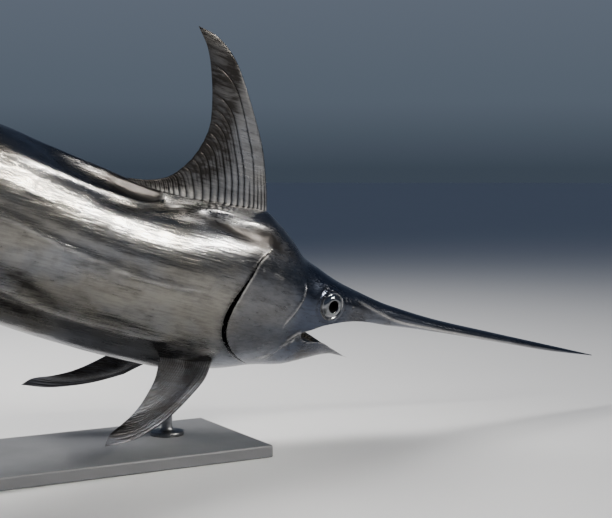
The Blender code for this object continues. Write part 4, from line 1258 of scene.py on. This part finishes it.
class SWORDFISH_OT_finishes(bpy.types.Operator):
    """Metal and paint finishes of the sculpture, and the painted shade in the pupils"""

    bl_idname = "swordfish.finishes"
    bl_label = "Finishes"

    def execute(self, context):
        colours = context.scene.swordfish_colours
        metal_finish("hammered_metal", colours, 0.19, 0.0006, 0.0003)
        metal_finish("ribbed_metal", colours, 0.26, 0.0005, 0.0003)
        metal_finish("rod_metal", colours, 0.34, 0.0002, 0.0003)

        eye = Nodes("eye_polish")
        eye.shader.inputs["Metallic"].default_value = 1.0
        wear = eye.noise(60.0, detail=3.0)
        eye.join(eye.levels(wear, 0.3, 0.7, 0.08, 0.2), eye.shader.inputs["Roughness"])
        bright, dull = (0.26, 0.265, 0.275), (0.11, 0.115, 0.12)
        eye.join(eye.mix(eye.levels(wear, 0.4, 0.7), bright, dull), eye.shader.inputs["Base Color"])

        # near-black lining of the pupil hole: painted shade
        pupil = Nodes("pupil_shade")
        shade_grain = pupil.noise(120.0, detail=2.0)
        black = pupil.mix(shade_grain, (0.002, 0.002, 0.002), (0.006, 0.006, 0.006))
        pupil.join(black, pupil.shader.inputs["Base Color"])
        pupil.shader.inputs["Roughness"].default_value = 0.9
        pupil.shader.inputs["Specular IOR Level"].default_value = 0.05

        paint = Nodes("base_paint")
        grain = paint.noise(260.0, detail=2.0)
        clouds = paint.noise(4.0, detail=3.0)
        darker = tuple(c * 0.8 for c in colours.base_paint)
        paint.join(paint.mix(clouds, colours.base_paint, darker), paint.shader.inputs["Base Color"])
        paint.join(paint.levels(clouds, 0.3, 0.7, 0.38, 0.5), paint.shader.inputs["Roughness"])
        paint.bump((grain, 0.0003, 0.4))
        return {"FINISHED"}


# Stage

PHOTO_CAMERA = (-1.489, -2.866, 0.413)
PHOTO_AXES = ((0.8347, -0.4498, 0.3177), (-0.2349, 0.231, 0.9442), (0.4981, 0.8627, -0.0872))
LENS = 76.47
# Lamps: place, aim, size, power, colour, spread of the beam, and whether the metal mirrors the lamp
LIGHTS = (
    ("pool", (-0.8, 2.1, 3.3), (0.0, -0.4, 0.0), (2.6, 1.6), 340.0, (1.0, 0.98, 0.95), 180.0, False),
    ("band", (2.32, -2.58, 2.10), (0.2, -0.13, 0.55), (1.5, 0.09), 11.0, (1.0, 0.96, 0.88), 40.0, True),
    ("overhead", (1.35, -0.45, 2.9), (0.40, -0.09, 0.58), (0.5, 0.3), 0.22, (1.0, 0.97, 0.92), 12.0, True),
    ("fill", (1.0, -2.4, 1.8), (0.3, -0.4, 0.0), (1.6, 1.0), 52.0, (1.0, 0.98, 0.95), 180.0, False),
)
# World brightness by height of the view, from the horizon to straight up
SKY = (
    (0.0, (0.050, 0.066, 0.090)), (0.05, (0.095, 0.12, 0.155)), (0.16, (0.125, 0.15, 0.195)),
    (0.42, (0.075, 0.10, 0.155)), (1.0, (0.045, 0.06, 0.10)),
)


class SWORDFISH_OT_stage(bpy.types.Operator):
    """Pale floor, soft studio light and the photograph's camera"""

    bl_idname = "swordfish.stage"
    bl_label = "Stage"

    def execute(self, context):
        shape = bmesh.new()
        bmesh.ops.create_circle(shape, cap_ends=True, segments=96, radius=60.0)
        bmesh.ops.translate(shape, vec=(0, 0, -0.0005), verts=shape.verts)
        floor = piece("floor", shape)
        made = Nodes("floor_paint")
        speckle = made.noise(1.4, detail=4.0)
        colour = context.scene.swordfish_colours.floor
        darker = tuple(c * 0.96 for c in colour)
        made.join(made.mix(speckle, colour, darker), made.shader.inputs["Base Color"])
        made.shader.inputs["Roughness"].default_value = 0.6
        floor.data.materials.append(made.material)

        world = bpy.data.worlds.new("studio")
        world.use_nodes = True
        tree = world.node_tree
        split = tree.nodes.new("ShaderNodeSeparateXYZ")
        shade = tree.nodes.new("ShaderNodeValToRGB")
        tree.links.new(tree.nodes.new("ShaderNodeTexCoord").outputs["Generated"], split.inputs[0])
        tree.links.new(split.outputs["Z"], shade.inputs["Fac"])
        tree.links.new(shade.outputs["Color"], tree.nodes["Background"].inputs["Color"])
        for element, (height, colour) in zip(shade.color_ramp.elements, (SKY[0], SKY[-1])):
            element.position = height
            element.color = (*colour, 1)
        for height, colour in SKY[1:-1]:
            shade.color_ramp.elements.new(height).color = (*colour, 1)
        context.scene.world = world
        for name, place, aim, size, power, colour, spread, mirrored in LIGHTS:
            lamp = bpy.data.lights.new(name, "AREA")
            lamp.shape = "RECTANGLE"
            lamp.size, lamp.size_y = size
            lamp.energy = power
            lamp.color = colour
            lamp.spread = math.radians(spread)
            obj = bpy.data.objects.new(name, lamp)
            obj.visible_glossy = mirrored
            obj.matrix_world = Matrix.Translation(place) @ (
                (Vector(aim) - Vector(place)).to_track_quat("-Z", "Y").to_matrix().to_4x4()
            )
            context.scene.collection.objects.link(obj)

        right, up, ahead = (Vector(axis) for axis in PHOTO_AXES)
        turn = Matrix((right, up, -ahead)).transposed().to_4x4()
        data = bpy.data.cameras.new("photo_view")
        data.sensor_width = 36.0
        data.lens = LENS
        camera = bpy.data.objects.new("photo_view", data)
        camera.matrix_world = fish_matrix() @ Matrix.Translation(PHOTO_CAMERA) @ turn
        context.scene.collection.objects.link(camera)
        context.scene.camera = camera
        return {"FINISHED"}


class SWORDFISH_PT_panel(bpy.types.Panel):
    """Sculpture pieces in the sidebar"""

    bl_idname = "SWORDFISH_PT_panel"
    bl_label = "Swordfish sculpture"
    bl_space_type = "VIEW_3D"
    bl_region_type = "UI"
    bl_category = "Swordfish"

    def draw(self, context):
        for group in (context.scene.swordfish_sizes, context.scene.swordfish_colours):
            for name in group.bl_rna.properties.keys():
                if name not in ("rna_type", "name"):
                    self.layout.prop(group, name)
        for operator in PIECES:
            self.layout.operator(operator.bl_idname)


PIECES = (
    SWORDFISH_OT_finishes,
    SWORDFISH_OT_skin,
    SWORDFISH_OT_jaw,
    SWORDFISH_OT_eyes,
    SWORDFISH_OT_dorsal,
    SWORDFISH_OT_pectorals,
    SWORDFISH_OT_rear_fins,
    SWORDFISH_OT_tail,
    SWORDFISH_OT_stand,
    SWORDFISH_OT_stage,
)
CLASSES = (SculptureSizes, SculptureColours, *PIECES, SWORDFISH_PT_panel)


def register():
    for kind in CLASSES:
        bpy.utils.register_class(kind)
    bpy.types.Scene.swordfish_sizes = bpy.props.PointerProperty(type=SculptureSizes)
    bpy.types.Scene.swordfish_colours = bpy.props.PointerProperty(type=SculptureColours)


def unregister():
    del bpy.types.Scene.swordfish_colours
    del bpy.types.Scene.swordfish_sizes
    for kind in reversed(CLASSES):
        bpy.utils.unregister_class(kind)


def main():
    register()
    for operator in PIECES:
        group, name = operator.bl_idname.split(".")
        getattr(getattr(bpy.ops, group), name)()


if __name__ == "__main__":
    main()
